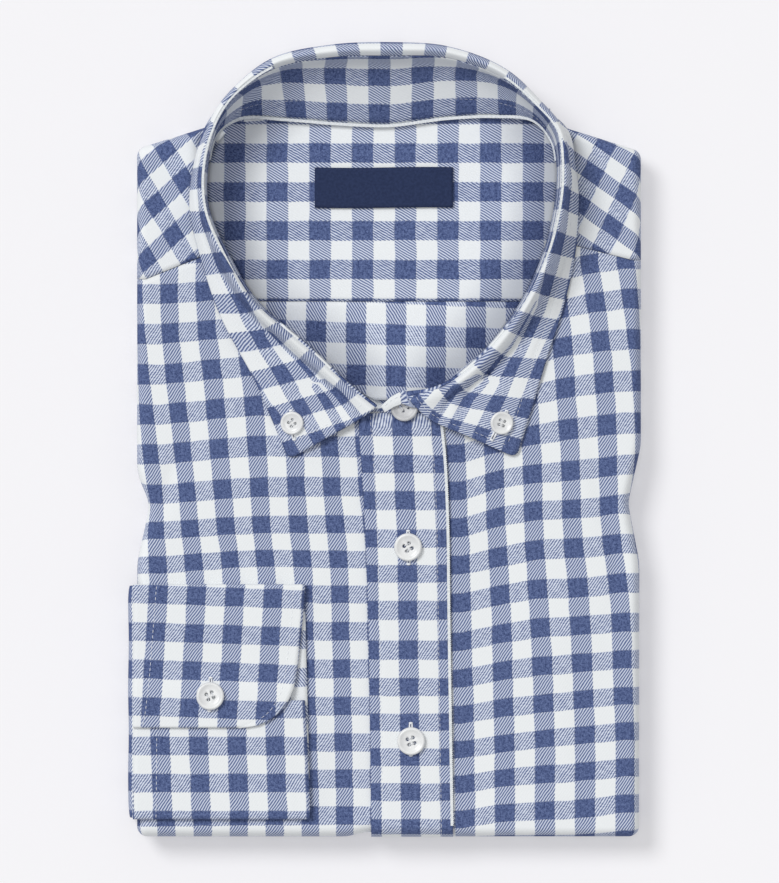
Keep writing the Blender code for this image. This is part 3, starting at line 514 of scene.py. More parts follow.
def clothPiece(name, grid, weave, facts, material=None, turnedOver=False, threads=None, depth=None):
    mesh = gridMesh(name, grid, weave, turnedOver, threads, depth)
    piece = addPiece(name, mesh, material or outsideCloth, facts["node"])
    wall = piece.modifiers.new("Wall", "SOLIDIFY")
    wall.thickness = facts["wall"] * mm
    wall.offset = -1
    area = sum(face.area for face in mesh.polygons)
    print(f"{name}: {len(mesh.polygons)} faces, {area:.4f} square metres")


# flat sizes are in metres, areas in square metres
frontRight = {
    "node": "front_right", "wall": 1.0, "flat": (0.137, 0.265), "area": 0.032,
    "sink": 1.9, "sinkX": (-20.0, -9.0), "underPlacket": 18.0, "columns": 56, "turns": 12,
}
frontLeft = {
    "node": "front_left", "wall": 1.0, "flat": (0.100, 0.265), "area": 0.024, "columns": 56, "turns": 12,
}
yokeOuter = {
    "node": "yoke_outer", "wall": 1.0, "flat": (0.240, 0.085), "area": 0.0065, "columns": 24, "turns": 12,
    "rightCheck": ((-98.3, 127.8), (7.88, -13.4), (-12.2, -10.8)),
    "leftCheck": ((95.4, 130.5), (-5.9, -13.2), (14.5, -10.2)), "blendX": (70, 76),
}
placket = {
    "node": "placket", "wall": 1.3, "flat": (0.037, 0.205), "restsOn": ["front_right"],
    "top": 24.4, "across": 28, "turns": 12, "turn": 125, "pastHem": 0.2, "uneven": 0.5,
    "stitchIn": 4.6, "stitchDip": 0.22, "edgeDrop": 0.3,
}

# edges of the pieces at the neck, and of the right front under the placket
neckRight = ((-74.6, 83.8), (-73, 80.9), (-60.4, 60.1), (-36.5, 39.3), (-20, 22.7), (-9, 12.4))
standRight = ((-7.5, 11.4), (11.9, 11.4), (11.9, -60), (11.9, -166))
neckLeft = ((72.5, 88), (71.1, 83.6), (61.2, 60.9), (45.3, 39.4), (29.6, 24.6), (24.4, 13.6))
neckYoke = (
    (-74.6, 84), (-81.8, 102.1), (-81.9, 123.2), (-78.2, 132.2), (-72.8, 137.9), (-61.2, 140.4),
    (-24.2, 140.5), (0, 140), (25.1, 142), (48, 141.6), (66.4, 139.8), (73.9, 134),
    (76.8, 121), (75.9, 105.2), (72.5, 88),
)
placketEdges = (  # y, left edge, right edge
    (11.8, -13.4, 23.1), (4.6, -13.2, 23.8), (-8.8, -12.3, 25.1), (-36.5, -10.7, 26.3),
    (-77, -9.2, 26.8), (-137.5, -8.2, 27.7), (-169.6, -7.8, 28.2),
)


def panelPiece(name, grid, laid, weave, facts):
    clothPiece(name, grid, weave, facts, turnedOver=True, threads=laid / cloth["square"])


foot = (body["placketFoot"][0] + frontRight["underPlacket"], body["hem"])
part = outlineRun((-body["side"], body["rightSeam"]), foot)
matches = ((0, 0), (0.26, 0.38), (0.42, 0.52), (0.60, 0.86), (0.64, 0.9), (1, 1))
neck = np.vstack([curveThrough(neckRight, 6), standRight])
grid, laid = panelGrid(part, neck, matches, frontRight)
grid[0, :, :2] += np.array((0.36, -0.93)) * body["seamGap"]
panelPiece("frontRight", grid, laid, frontWeave(laid, rightCheck), frontRight)

part = outlineRun((body["placketFoot"][1], body["hem"]), (body["side"], body["leftSeam"]))
sideEdge = [(x + body["seamGap"], y) for y, _, x in placketEdges]
matches = ((0, 0), (0.28, 0.12), (0.34, 0.18), (0.62, 0.62), (1, 1))
neck = np.vstack([curveThrough(neckLeft, 6), sideEdge])[::-1]
grid, laid = panelGrid(part, neck, matches, frontLeft)
grid[0, :, 0] = np.maximum(grid[0, :, 0], grid[0, 0, 0])
grid[-1, :, :2] += np.array((-0.19, -0.98)) * body["seamGap"]
panelPiece("frontLeft", grid, laid, frontWeave(laid, leftCheck), frontLeft)

part = outlineRun((body["side"], body["leftSeam"]), (-body["side"], body["rightSeam"]))
matches = (
    (0, 0), (0.10, 0.08), (0.152, 0.126), (0.22, 0.164), (0.265, 0.206), (0.305, 0.252), (0.486, 0.48),
    (0.667, 0.711), (0.709, 0.759), (0.735, 0.785), (0.758, 0.806), (0.789, 0.828), (0.87, 0.885), (1, 1),
)
grid, laid = panelGrid(part, curveThrough(neckYoke[::-1], 6), matches, yokeOuter)
onRight, onLeft = (slantWeave(laid, *yokeOuter[side]) for side in ("rightCheck", "leftCheck"))
toLeft, toRight = (smoothStep(side * laid[..., :1], *yokeOuter["blendX"]) for side in (1, -1))
weave = onLeft * toLeft + onRight * toRight + laid / cloth["square"] * (1 - toLeft - toRight)
panelPiece("yokeOuter", grid, laid, weave, yokeOuter)
print("fronts and yoke made")

# placket: flat strip with pressed edges, round the hem at its foot
share = np.linspace(0, 1, placket["across"] + 1)
rows, laidRows = [], []
for y, left, right in curveThrough(placketEdges, 16):
    x = left + (right - left) * share
    fromEdge = np.minimum(x - left, right - x)
    dip = placket["stitchDip"] * np.exp(-(((fromEdge - placket["stitchIn"]) / 1.1) ** 2))
    dip += placket["edgeDrop"] * np.exp(-((fromEdge / 0.7) ** 2))
    rows.append(together(x, y, placket["top"] + placket["uneven"] * crumple(x * 1.3, y * 1.2) - dip))
    laidRows.append(together(x, y))
deep, middle = y - (body["hem"] - placket["pastHem"]), body["frontTop"] * body["foldMiddle"]
reach, last = 0.0, (y, placket["top"])
for turn in np.radians(np.linspace(0, placket["turn"], placket["turns"] + 1)[1:]):
    here = (y - deep * sin(turn), middle + (placket["top"] - middle) * cos(turn))
    reach += np.hypot(here[0] - last[0], here[1] - last[1])
    last = here
    rows.append(together(x, *here))
    laidRows.append(together(x, y - reach))
placketGrid, laid = np.array(rows), np.array(laidRows)
x, y = laid[..., 0], laid[..., 1]
centre = np.interp(y, *zip(*placketCheck["centre"]))
rowNumber = np.interp(-y, [-row for row in placketRows], np.arange(len(placketRows)))
rowNumber = np.where(y > placketRows[0], (placketRows[0] - y) / placketCheck["firstRow"], rowNumber)
clothPiece("placketStrip", placketGrid, np.dstack([(x - centre) / placketCheck["wide"], -rowNumber]), placket)

# neck floor: the yoke's and the back's inner faces
neckLines = (  # y, left edge, right edge
    (138.6, -66, 64), (134, -73, 70.4), (123.2, -79.3, 74.4), (102.1, -79.3, 73.6), (81.6, -70.6, 68.6),
    (61.3, -58.4, 58.8), (40.7, -34.6, 43), (24.8, -17.6, 25.2), (17.6, -6.4, 6.8),
)
neckFloor = {
    "top": 11.92, "yokeSeam": 61.0, "end": 146.0, "seamDip": 0.25, "columns": 61, "uneven": 0.7,
    "under": 7.0, "underY": (135.5, 139.5), "underDrop": 0.5, "underDropY": (138, 141),
    "frontRise": 1.6, "frontRiseY": (15, 45), "middleRise": 0.25,
    # painted shade near the neck's edges: its reach, its strength, and more of it toward one side
    "shadeReach": (2, 27), "shade": 0.45, "shadeMore": 0.4, "shadeMoreAt": (-130, -40),
}
yokeInner = {
    "node": "yoke_inner", "wall": 1.0, "flat": (0.153, 0.078), "area": 0.0112,
    "check": ((-30.4, 126.4), (18.8, 17.1)),
}
backInner = {
    "node": "back_inner", "wall": 1.0, "flat": (0.118, 0.044), "area": 0.0033,
    "check": ((-32.1, 47.8), (17.6, 18.3), (0, 0.041)),
}
floor = curveThrough(neckLines, 12)[::-1]
neckEdge = np.array([(x, y) for column in (1, 2) for y, x in floor[12:, (0, column)]])


def floorGrid(heights):
    grid = []
    share = np.linspace(0, 1, neckFloor["columns"])
    for y in heights:
        # behind the neck it runs on under the band's foot
        wider = neckFloor["under"] * smoothStep(y, *neckFloor["underY"])
        left, right = (np.interp(y, floor[:, 0], floor[:, k]) + wider * (2 * k - 3) for k in (1, 2))
        x = left + (right - left) * share
        z = neckFloor["top"] + neckFloor["frontRise"] * (1 - smoothStep(y, *neckFloor["frontRiseY"]))
        z = z + neckFloor["middleRise"] * np.sin(pi * share) + neckFloor["uneven"] * crumple(x * 0.8, y * 0.8)
        z -= neckFloor["seamDip"] * np.exp(-(((y - neckFloor["yokeSeam"]) / 1.2) ** 2))
        z -= neckFloor["underDrop"] * smoothStep(y, *neckFloor["underDropY"])
        grid.append(together(x, y, z))
    return np.array(grid)


def paintedShadeAmount(grid):
    # how much painted shade a place of the neck floor gets, from its distance to the neck's edge
    gap = np.min(np.linalg.norm(grid[..., None, :2] - neckEdge, axis=3), axis=2)
    more = neckFloor["shadeMore"] * smoothStep(grid[..., 0] - grid[..., 1], *neckFloor["shadeMoreAt"])
    return (1 - smoothStep(gap, *neckFloor["shadeReach"])) * (neckFloor["shade"] + more)


seam = neckFloor["yokeSeam"]
for name, facts, material, heights in (
    ("yokeInside", yokeInner, insideCloth, np.linspace(neckFloor["end"], seam + body["seamGap"], 44)),
    ("backInside", backInner, backCloth, np.linspace(seam, neckLines[-1][0], 26)),
):
    grid = floorGrid(heights)
    weave = squareWeave(grid[..., 0], grid[..., 1], *facts["check"])
    clothPiece(name, grid, weave, facts, material, depth=paintedShadeAmount(grid))
print("neck floor made")

# collar
columns = ("foot", "waist", "seam", "crest", "turn", "valley", "edge")
collarBack = (
    (0, 138.4, 13.8), (0, 163.2, 31), (0, 168.5, 42.5), (0, 171.4, 45.5),
    (0, 174.2, 41.5), (0, 173.8, 24), (0, 172.9, 4.5),
)
collarRight = (
    ((-24.2, 139.3, 13.8), (-25.5, 163, 31), (-24.6, 167.9, 42.5), (-25.5, 170.5, 45.5),
     (-26.4, 173, 41.5), (-26.4, 172.5, 24), (-26, 171.6, 4.5)),
    ((-45.8, 141, 14.6), (-48.2, 159.9, 31), (-49.1, 163.2, 42.5), (-50, 165.4, 45.8),
     (-50.9, 167.4, 42), (-51, 166.8, 24), (-50.6, 165.9, 5)),
    ((-65.1, 141.5, 15.2), (-64, 150.9, 32), (-65.8, 152.4, 43), (-67, 153.4, 46.3),
     (-68.2, 154.3, 43), (-68.4, 153.8, 26), (-68.9, 152.9, 11)),
    ((-75.3, 135, 14.8), (-73.9, 140.4, 33), (-74.4, 141.1, 44.5), (-75.6, 141.8, 47.5),
     (-76.9, 142.6, 44.5), (-77.7, 142, 31), (-80, 139.6, 24.4)),
    ((-79.1, 123.2, 13.8), (-79.6, 123.2, 32), (-80.1, 123.2, 46.5), (-81.5, 123.2, 48.5),
     (-82.9, 123, 46.3), (-83.4, 122.3, 31.5), (-86.2, 120.1, 24.6)),
    ((-79.1, 102.1, 13.8), (-79.6, 102.1, 32), (-80.1, 102.1, 46.5), (-81.4, 102.1, 48.5),
     (-82.9, 101.9, 46.3), (-83.2, 101.6, 31), (-87.7, 101.2, 24.4)),
    ((-70.4, 82.1, 14), (-71, 81.8, 31), (-71.6, 81.5, 43.5), (-73, 80.9, 45.2),
     (-74.4, 80.2, 43), (-76.6, 79.2, 29.5), (-81.6, 75.7, 24.4)),
    ((-57.9, 61.6, 14.5), (-58.5, 61.2, 29), (-59, 60.9, 38.5), (-60.4, 60.1, 40.3),
     (-61.8, 59.1, 38), (-63.7, 57.9, 28.3), (-73.9, 53.7, 24.4)),
    ((-34.8, 41.5, 17), (-35.2, 41, 26.5), (-35.6, 40.5, 32.5), (-36.8, 38.9, 34),
     (-38.2, 37.3, 32.3), (-40.1, 34.8, 27), (-59, 26, 24.4)),
    ((-17.8, 25.5, 20), (-18.1, 25.1, 25), (-18.5, 24.6, 29.8), (-19.7, 23.1, 31.2),
     (-21, 21.4, 29.6), (-22.7, 19.4, 26.7), (-51.5, 8.8, 24.4)),
    ((-7.6, 15.2, 24.4), (-6.5, 15, 26.4), (-5.7, 14.4, 28.4), (-7.3, 12.9, 30.2),
     (-9.9, 11, 29.3), (-13.4, 8.8, 27.4), (-44.1, -8.7, 24.6)),
)
collarLeft = (
    ((25.1, 141.5, 13.8), (25.1, 162.6, 31), (25.5, 167.6, 42.5), (26, 170.1, 45.5),
     (26.4, 172.3, 41.5), (26.4, 171.8, 24), (26, 170.9, 4.5)),
    ((48, 142.4, 14.6), (47.5, 156.9, 31), (48.8, 159.3, 42.5), (49.9, 161, 45.8),
     (50.8, 162.8, 42), (51, 162.1, 24), (50.4, 161.3, 5)),
    ((63.4, 140.6, 15.2), (63.4, 145.6, 32), (64.3, 146.7, 43), (65.4, 147.7, 46.3),
     (66.4, 148.7, 43), (66.7, 148.1, 26), (67.2, 147.2, 11)),
    ((71.3, 132, 14.6), (72.2, 134.2, 33), (73.6, 135.3, 44.5), (74.7, 136.1, 47.5),
     (75.9, 136.8, 44.5), (76.8, 136.4, 31), (79.2, 135.4, 24.4)),
    ((73.7, 121, 13.8), (74.6, 121.4, 32), (75.5, 121.9, 46.5), (77, 122.3, 48.5),
     (78.5, 122.8, 46.3), (79.2, 122.1, 31.5), (82.3, 119.7, 24.6)),
    ((73, 105.6, 13.8), (73.9, 105.6, 32), (74.8, 105.6, 46.5), (76.3, 105.4, 48.5),
     (77.8, 105.2, 46.3), (79, 104.7, 31), (83.6, 103.8, 24.4)),
    ((68.4, 84.5, 14), (69.2, 84.2, 31), (69.9, 84, 43.5), (71.3, 83.5, 45.2),
     (72.8, 82.9, 43), (75.9, 81.8, 29.5), (81.6, 79.6, 24.4)),
    ((58.5, 62, 14.5), (59.3, 61.7, 29), (59.9, 61.4, 38.5), (61.6, 60.7, 40.3),
     (63.2, 60, 38), (66.9, 58.5, 28.3), (76.1, 56.3, 24.4)),
    ((43.1, 41.2, 17), (43.6, 40.7, 26.5), (44.1, 40.3, 32.5), (45.7, 39.1, 34),
     (47.4, 37.7, 32.3), (50.2, 35.5, 27), (68.6, 33, 24.4)),
    ((26, 26.2, 20), (26.3, 25.7, 25), (26.6, 25.3, 29.8), (27.6, 24, 32.2),
     (29.2, 21.8, 30.8), (31, 19.4, 27.3), (62.5, 12.3, 24.4)),
    ((17, 14.6, 25), (17.1, 18.4, 27), (17.2, 20.8, 29.3), (17.8, 21.6, 31),
     (19.4, 18.8, 31.5), (24, 13.8, 28.6), (59.3, 2.2, 24.5)),
    ((11.5, 14.2, 27.6), (9.8, 16.4, 28.4), (8, 18.2, 29.2), (8.2, 18.9, 29.9),
     (9.8, 16.6, 31), (17.6, 9.3, 28.9), (56.1, -7.9, 24.6)),
)
bandEnds = (  # foot, waist, top
    ((5.8, 16.2, 27.9), (5.5, 18, 28.8), (5.2, 20, 29.4)),
    ((-2, 12.4, 26.9), (-2.8, 13.8, 27.6), (-3.6, 15, 28)),
)
collar = {
    "along": 12, "across": 10, "bandAcross": 8, "leafLift": 0.4, "seam": 0.7, "uneven": 0.9,
    "stitchIn": 5.6, "stitchDip": 0.2, "rimDrop": 0.15, "foldWide": 1.25, "tip": 3.6,
}
leafFacts = {
    "node": "collar_leaf", "wall": 0.9, "flat": (0.46, 0.070), "area": 0.0175, "restsOn": ["collar_band"],
}
bandFacts = {
    "node": "collar_band", "wall": 0.9, "flat": (0.46, 0.040), "area": 0.0128, "restsOn": ["yoke_outer"],
    "check": ((-4.4, 6.25), (19.27, 18.95)),
}

rows = [*collarRight[::-1], collarBack, *collarLeft]
lines = {name: curveThrough([row[k] for row in rows], collar["along"]) for k, name in enumerate(columns)}
sections = []
for waist, seam, crest, turn, valley, edge in zip(*(lines[name] for name in columns[1:])):
    middle = (valley + edge) / 2 + np.array((0, 0, collar["leafLift"]))
    section = curveThrough((waist, seam, crest, turn, valley, middle, edge), collar["across"])
    sections.append(section[collar["across"] :])
leaf = np.array(sections)
backSection = collar["along"] * len(collarRight)      # the section at the middle of the back

# the stitch line draws the cloth in, and the rim is pressed
across = runAcross(leaf)
toEdge = across[:, -1:] - across
dip = collar["stitchDip"] * np.exp(-((toEdge - collar["stitchIn"]) ** 2))
rim = collar["rimDrop"] * np.exp(-((toEdge / 0.8) ** 2))
uneven = collar["uneven"] * crumple(leaf[..., 0] * 1.4, leaf[..., 1] * 1.4)
leaf[..., 2] += smoothStep(across, 9, 14) * (uneven - dip - rim)

# where the dark lines cross the leaf's sections, counted from each point: at the crest, at the outer edge
crossRight = (
    (0.25, -0.25), (1.05, 0.9), (2.3, 2), (4, 3.65), (5.2, 4.95), (6.35, 6.3), (7.45, 7.3), (8.46, 8.35),
    (9.22, 9.2), (10.3, 10.3), (11.61, 11.6),
)
crossLeft = (
    (0, -0.2), (0.5, 0.36), (1.1, 0.9), (2.2, 2.1), (3.5, 3.45), (4.85, 4.75), (5.95, 6.05), (6.83, 6.85),
    (7.51, 7.7), (8.28, 8.3), (9.35, 9.35), (10.7, 10.7),
)
lineCount = {"right": 13, "left": 12, "back": -0.06}      # from each point to the middle of the back
numbers = [(a - lineCount["right"], b - lineCount["right"]) for a, b in crossRight]
numbers.append((lineCount["back"], lineCount["back"]))
numbers += [(lineCount["left"] - a, lineCount["left"] - b) for a, b in crossLeft[::-1]]
places = np.arange(len(leaf)) / collar["along"]
atSections = np.arange(len(numbers))
crossAtCrest, crossAtEdge = (np.interp(places, atSections, column)[:, None] for column in zip(*numbers))
planAcross = runAcross(leaf[..., :2])
fromEdge = planAcross[:, -1:] - planAcross
shareIn = fromEdge / fromEdge[:, :1]
cross = crossAtEdge + (crossAtCrest - crossAtEdge) * shareIn
# dark lines along the leaf: number of the crossing line, then in turn a distance from the outer edge and
# the number of the line there
alongRight = (
    (
        (-0.4, 0, -0.2, 16.3, 1, 27.3, 2, 35.2, 3, 42.7, 3.7), (0, 0, -0.18, 16, 1, 27, 2, 35, 3, 42, 3.6),
        (1, 0, -0.08, 14.2, 1, 25.7, 2, 30.8, 3, 35.5, 3.5),
        (1.5, 0, 0.1, 13, 1, 23.5, 1.9, 27, 3.1, 31, 3.5),
    ),
    (
        (1.5, 0, 0.1, 13, 1, 23.5, 1.7, 26.5, 2.3, 31, 2.5),
        (2.5, 0, 0.25, 12.2, 1, 18, 1.7, 20, 2.3, 23.7, 2.55),
        (3.1, 0, 0.25, 12, 1, 15, 1.5, 16.5, 2.3, 20, 2.5),
    ),
    (
        (3.1, 0, 0.25, 12, 1, 14.5, 1.25, 16, 1.35, 20, 1.5),
        (4, 0, 0.25, 12, 1, 13, 1.15, 14, 1.3, 15, 1.45),
        (5, 0, 0.25, 8.8, 1, 9.2, 1.04, 9.6, 1.08, 10.2, 1.12),
        (6, 0, 0.25, 3, 0.6, 4.2, 0.75, 5.4, 0.85, 6.6, 0.95),
        (7, 0, 0.25, 3, 0.6, 3.8, 0.7, 4.6, 0.8, 5.6, 0.9),
        (8.5, 0, 0.25, 2, 0.4, 3, 0.45, 4, 0.5, 5, 0.55),
    ),
)
alongLeft = (
    (
        (-0.4, 0, -0.26, 18.5, 1, 31, 2, 40, 3, 56, 4.4), (0, 0, -0.26, 18.5, 1, 31, 2, 40, 3, 55, 4.4),
        (1, 0, -0.26, 16.1, 1, 28.8, 2, 35.5, 3, 40.5, 3.5),
        (1.6, 0, -0.2, 14.8, 1, 22.5, 1.9, 27, 3.1, 30.5, 3.5),
    ),
    (
        (1.6, 0, -0.2, 14.8, 1, 22.5, 1.6, 26, 2.3, 30.5, 2.5),
        (2.5, 0, -0.05, 12.6, 1, 15.8, 1.5, 17.6, 2.3, 21, 2.5),
        (3.5, 0, 0.2, 10.5, 1, 11.8, 1.5, 12.8, 2.3, 15.2, 2.5),
    ),
    (
        (3.5, 0, 0.2, 10.5, 1, 11.6, 1.25, 13, 1.4, 15.2, 1.5),
        (4.5, 0, 0.15, 9.5, 1, 10.5, 1.1, 11, 1.15, 12, 1.25),
        (5.5, 0, 0.2, 6.8, 0.95, 7.4, 1, 8, 1.05, 8.6, 1.1),
        (6.5, 0, 0.25, 3, 0.75, 4, 0.85, 5, 0.95, 6, 1), (8, 0, 0.25, 2, 0.4, 3, 0.45, 4, 0.5, 5, 0.55),
    ),
)
down = np.zeros(leaf.shape[:2])
for k in range(len(leaf)):
    number = float(crossAtCrest[k, 0] + crossAtEdge[k, 0]) / 2
    if k < backSection:
        number, tables = number + lineCount["right"], alongRight
    else:
        number, tables = lineCount["left"] - number, alongLeft
    table = np.array(next((rows for rows in tables if number <= rows[-1][0]), tables[-1]))
    stops = np.array([np.interp(number, table[:, 0], column) for column in table.T[1:]])
    low = np.interp(fromEdge[k], stops[0::2], stops[1::2])
    high = 0.5 - (across[k] - 4.0) / 17.2
    onBack = smoothStep(number, 7.6, 9.2)
    down[k] = low * (1 - onBack) + high * onBack

# soft folds that fan from the valley to the front edges: line in plan, then depth at its two ends
fans = (
    (((37, 28.5), (31.5, 23.5), (27, 18), (24, 12.5), (20.6, 8.2)), 1.9, 0.5),
    (((44, 30), (39.5, 26), (35.5, 21), (32, 14), (29.6, 6.8)), 1.9, 0.5),
    (((66, 66), (60.5, 50), (53, 38), (44, 30)), 0.7, 1.9),
    (((-29, 29), (-23, 23.5), (-18, 17), (-14.5, 10.5), (-12, 7.4)), 1.7, 0.5),
    (((-32.5, 29.5), (-27.5, 23), (-24, 16.5), (-21.5, 10), (-20, 5.4)), 1.7, 0.5),
    (((-61, 62), (-51, 46), (-41, 36), (-31, 30)), 0.7, 1.8),
)
for path, first, last in fans:
    fold = curveThrough(path, 10)
    gap = np.linalg.norm(leaf[..., None, :2] - fold, axis=3)
    depth = first + (last - first) * np.argmin(gap, axis=2) / (len(fold) - 1)
    near = np.exp(-((np.min(gap, axis=2) / collar["foldWide"]) ** 2))
    leaf[..., 2] -= depth * near * smoothStep(across, 5, 9)

# the points are rounded
tip = collar["tip"]
for rows in (slice(0, 24), slice(-1, -25, -1)):
    part = leaf[rows]
    alongWay = np.linalg.norm(part[:, -1] - part[0, -1], axis=1)[:, None]
    p = np.clip(1 - alongWay / tip, 0, 1)
    q = np.clip(1 - toEdge[rows] / tip, 0, 1)
    moveAlong = (p - p * np.sqrt(1 - q * q / 2)) * tip
    moveIn = (q - q * np.sqrt(1 - p * p / 2)) * tip
    alongEdge = lengthOne(part[6, -1] - part[0, -1])
    inward = lengthOne(part[0, -8] - part[0, -1])
    leaf[rows] += (moveAlong[..., None] * alongEdge + moveIn[..., None] * inward) * (p * q > 0)[..., None]
leafThreads = np.dstack([cross, toEdge / cloth["square"]])
clothPiece("collarLeaf", leaf, np.dstack([cross, down]), leafFacts, threads=leafThreads)

sections = []
for points in zip(*(lines[name] for name in columns[:4])):
    section = curveThrough(points, collar["bandAcross"])[: -collar["bandAcross"]]
    section[-1] -= lengthOne(section[-1] - section[-2]) * collar["seam"]
    sections.append(section)
ends = [curveThrough(end, collar["bandAcross"]) for end in bandEnds]
sections += [sections[-1] + (ends[0] - sections[-1]) * k / 3 for k in (1, 2)]
sections += [ends[0] + (ends[1] - ends[0]) * k / 8 for k in range(9)]
bandEnd = 11      # how many of its sections lie beyond the leaf
band = np.array(sections)
across = runAcross(band)
# toward its end the band's top shows beyond the leaf, and the end is bowed: section counted back, distance
bandLift = ((-37, 0), (-12, 2.8), (-9, 1.2), (-5, 1.0), (-1, 0))
bandBow = ((-11, 0), (-5, 0.5), (-1, 0))
lift, bow = (np.interp(np.arange(-len(band), 0), *zip(*stops))[:, None] for stops in (bandLift, bandBow))
band[..., 1] += lift * smoothStep(across / across[:, -1:], 0.3, 1.0) + bow
waistRun = runOf(band[:, 8])
band[..., 2] += 0.5 * crumple(band[..., 0], band[..., 1] * 0.6) * smoothStep(across, 3, 9)
bandWeave = squareWeave((waistRun - waistRun[backSection])[:, None], across, *bandFacts["check"])
bandWeave[-bandEnd:, :, 1] = 0.34 + across[-bandEnd:] / 17.1      # the end shows a light row
clothPiece("collarBand", band, bandWeave, bandFacts, insideCloth)
print("collar made")

# cuff and sleeve
cuff = {
    "node": "cuff", "wall": 1.1, "flat": (0.078, 0.235), "restsOn": ["front_right", "sleeve"],
    "left": -112.6, "top": -63.4, "bottom": -166.8, "low": 23.0, "high": 26.1,
    "across": 34, "step": 2.0, "stitchIn": 5.0, "stitchDip": 0.2, "uneven": 0.55,
    "check": ((-101.5, -67.8), (16.85, 16.5), (-0.061, 0.035)),
    "lowerCheck": ((-100.5, -134.5), (16.85, 16.3), (0.035, 0)),
}
underLap = ((-114.4, -37), (-128.5, -36.1), (-146, -35.3), (-160, -34.7))   # y, right edge
overlap = (  # y, height, right edge
    (-78, 26.1, -37.8), (-93.3, 26.1, -39.4), (-104, 26.5, -40.7), (-110, 27.6, -42.2),
    (-114, 27.9, -43.9), (-118, 27.9, -46.4), (-121, 27.9, -49.4), (-123.6, 27.9, -53.2),
    (-125.4, 27.9, -57.6), (-126.4, 27.9, -63),
)
radius = (cuff["high"] - cuff["low"]) / 2
middle = (cuff["high"] + cuff["low"]) / 2


def cuffFold(y, way, right):
    # the half circle round one end of the cuff
    turns = np.radians(np.linspace(90, -90, 9)) * -way
    return [(y - way * radius * (1 - cos(turn)), middle + radius * sin(turn), right) for turn in turns]


run = [(y, cuff["high"], right) for y, right in underLap] + cuffFold(cuff["bottom"], -1, -34.7)
run += [(-140.0, cuff["low"], -35.2), (-90.0, cuff["low"], -36.5)] + cuffFold(cuff["top"], 1, -36.9)
run = np.array(run + list(overlap))
dense = []
for start, end in zip(run[:-1], run[1:]):
    pieces = max(1, ceil(np.linalg.norm(end[:2] - start[:2]) / cuff["step"]))
    dense += [start + (end - start) * k / pieces for k in range(pieces)]
run = np.array(dense + [run[-1]])
length = runOf(run[:, :2])
lapEnd = int(np.argmin(np.abs(run[:, 0] - cuff["bottom"])))
topFold = int(np.argmax(run[:, 0]))
share = np.linspace(0, 1, cuff["across"] + 1)
grid, weave = [], []
for k, (y, z, right) in enumerate(run):
    x = cuff["left"] + (right - cuff["left"]) * share
    rise = 0
    if k < lapEnd or k > topFold:
        rise = cuff["uneven"] * crumple(x * 1.2 + 5, y * 1.1)
        rise = rise - cuff["stitchDip"] * np.exp(-((right - x - cuff["stitchIn"]) ** 2))
    grid.append(together(x, y, z + rise))
    if k <= lapEnd + 12 and y < -80 and k < topFold - 20:
        # what shows below the overlap has lines of its own
        weave.append(squareWeave(x, run[0, 0] - length[k], *cuff["lowerCheck"]))
    else:
        weave.append(squareWeave(x, run[-1, 0] + length[-1] - length[k], *cuff["check"]))
cuffGrid = np.array(grid)
clothPiece("cuffStrip", cuffGrid, np.array(weave), cuff)

sleeve = {
    "node": "sleeve", "wall": 1.5, "flat": (0.102, 0.027),
    "bulge": 2.4, "ends": 6.0, "gap": -0.3, "short": 0.8, "check": ((12.0, -67.8), (16.85, 16.5)),
}
sleeveTurn = (  # reach beyond the cuff as a share of the bulge, height
    (0, 25.9), (0.25, 25.85), (0.7, 24.6), (0.95, 21), (1, 14), (1, 8), (0.9, 4), (0.62, 2.4),
)
turnLine = curveThrough(sleeveTurn, 4)
low, high = cuff["bottom"] + sleeve["short"], cuff["top"] - sleeve["short"]
grid = []
for y in np.linspace(low, high, 60):
    near = min(y - low, high - y) / sleeve["ends"]
    swell = sleeve["bulge"] * (0.75 + 0.25 * np.sqrt(min(near, 1.0))) * (1 + 0.06 * sin(y / 6.3))
    grid.append(together(cuff["left"] - sleeve["gap"] - turnLine[:, 0] * swell, y, turnLine[:, 1]))
grid = np.array(grid)
weave = squareWeave(-runOf(turnLine * (sleeve["bulge"], 1))[None], grid[:, :1, 1], *sleeve["check"])
clothPiece("sleeveWrap", grid, weave, sleeve)
print("cuff and sleeve made")

# hidden layers
layers = {
    "node": "folded_layers", "top": 20.0, "hollowFloor": 10.5, "hollowTall": 30.0, "shy": 1.9, "square": 16.9,
    "upperDeep": 4.0, "upperReach": 2.4, "upperTurns": (165, 140, 115, 90, 65, 45, 30, 15),
}
layerSteps = (  # how far in from the outline, height
    (3.6, 0), (2.9, 0.25), (2.3, 0.8), (1.95, 1.5), (1.9, 2.1), (2.05, 2.8), (2.5, 3.5), (3.3, 3.95),
    (4.3, 4.15), (3.3, 4.35), (2.4, 4.9), (1.8, 5.6), (1.6, 6.3), (1.8, 7), (2.4, 7.7), (3.3, 8.15),
    (4.3, 8.35),
)
hollow = (
    (-81.3, 102.1), (-72.4, 81.1), (-60, 60.3), (-36.3, 39.6), (-18.9, 23.5), (-5.7, 13.9), (6.6, 14.4),
    (27.3, 24), (45, 39.7), (60.7, 61.1), (70.7, 83.7), (75.5, 105.2), (76, 112), (92, 119),
    (92, 152), (-92, 152), (-92, 119), (-81.4, 112),
)
corners = [(x, y + layers["shy"] if y == body["hem"] else y, radius) for x, y, radius in outlineCorners]
points, normals = roundedOutline(corners, 4)
steps = list(layerSteps)
middle = body["frontTop"] * body["foldMiddle"]
for turn in np.radians(layers["upperTurns"]):
    height = middle + (layers["top"] - middle) * cos(turn) * 1.04
    steps.append((layers["upperDeep"] - layers["upperReach"] * sin(turn), height))
around = runOf(np.vstack([points, points[:1]])) / layers["square"]
upward = runOf(np.array(steps)) / layers["square"]
shape = bmesh.new()
weaveLayer = shape.loops.layers.uv.new("cloth")
rings = []
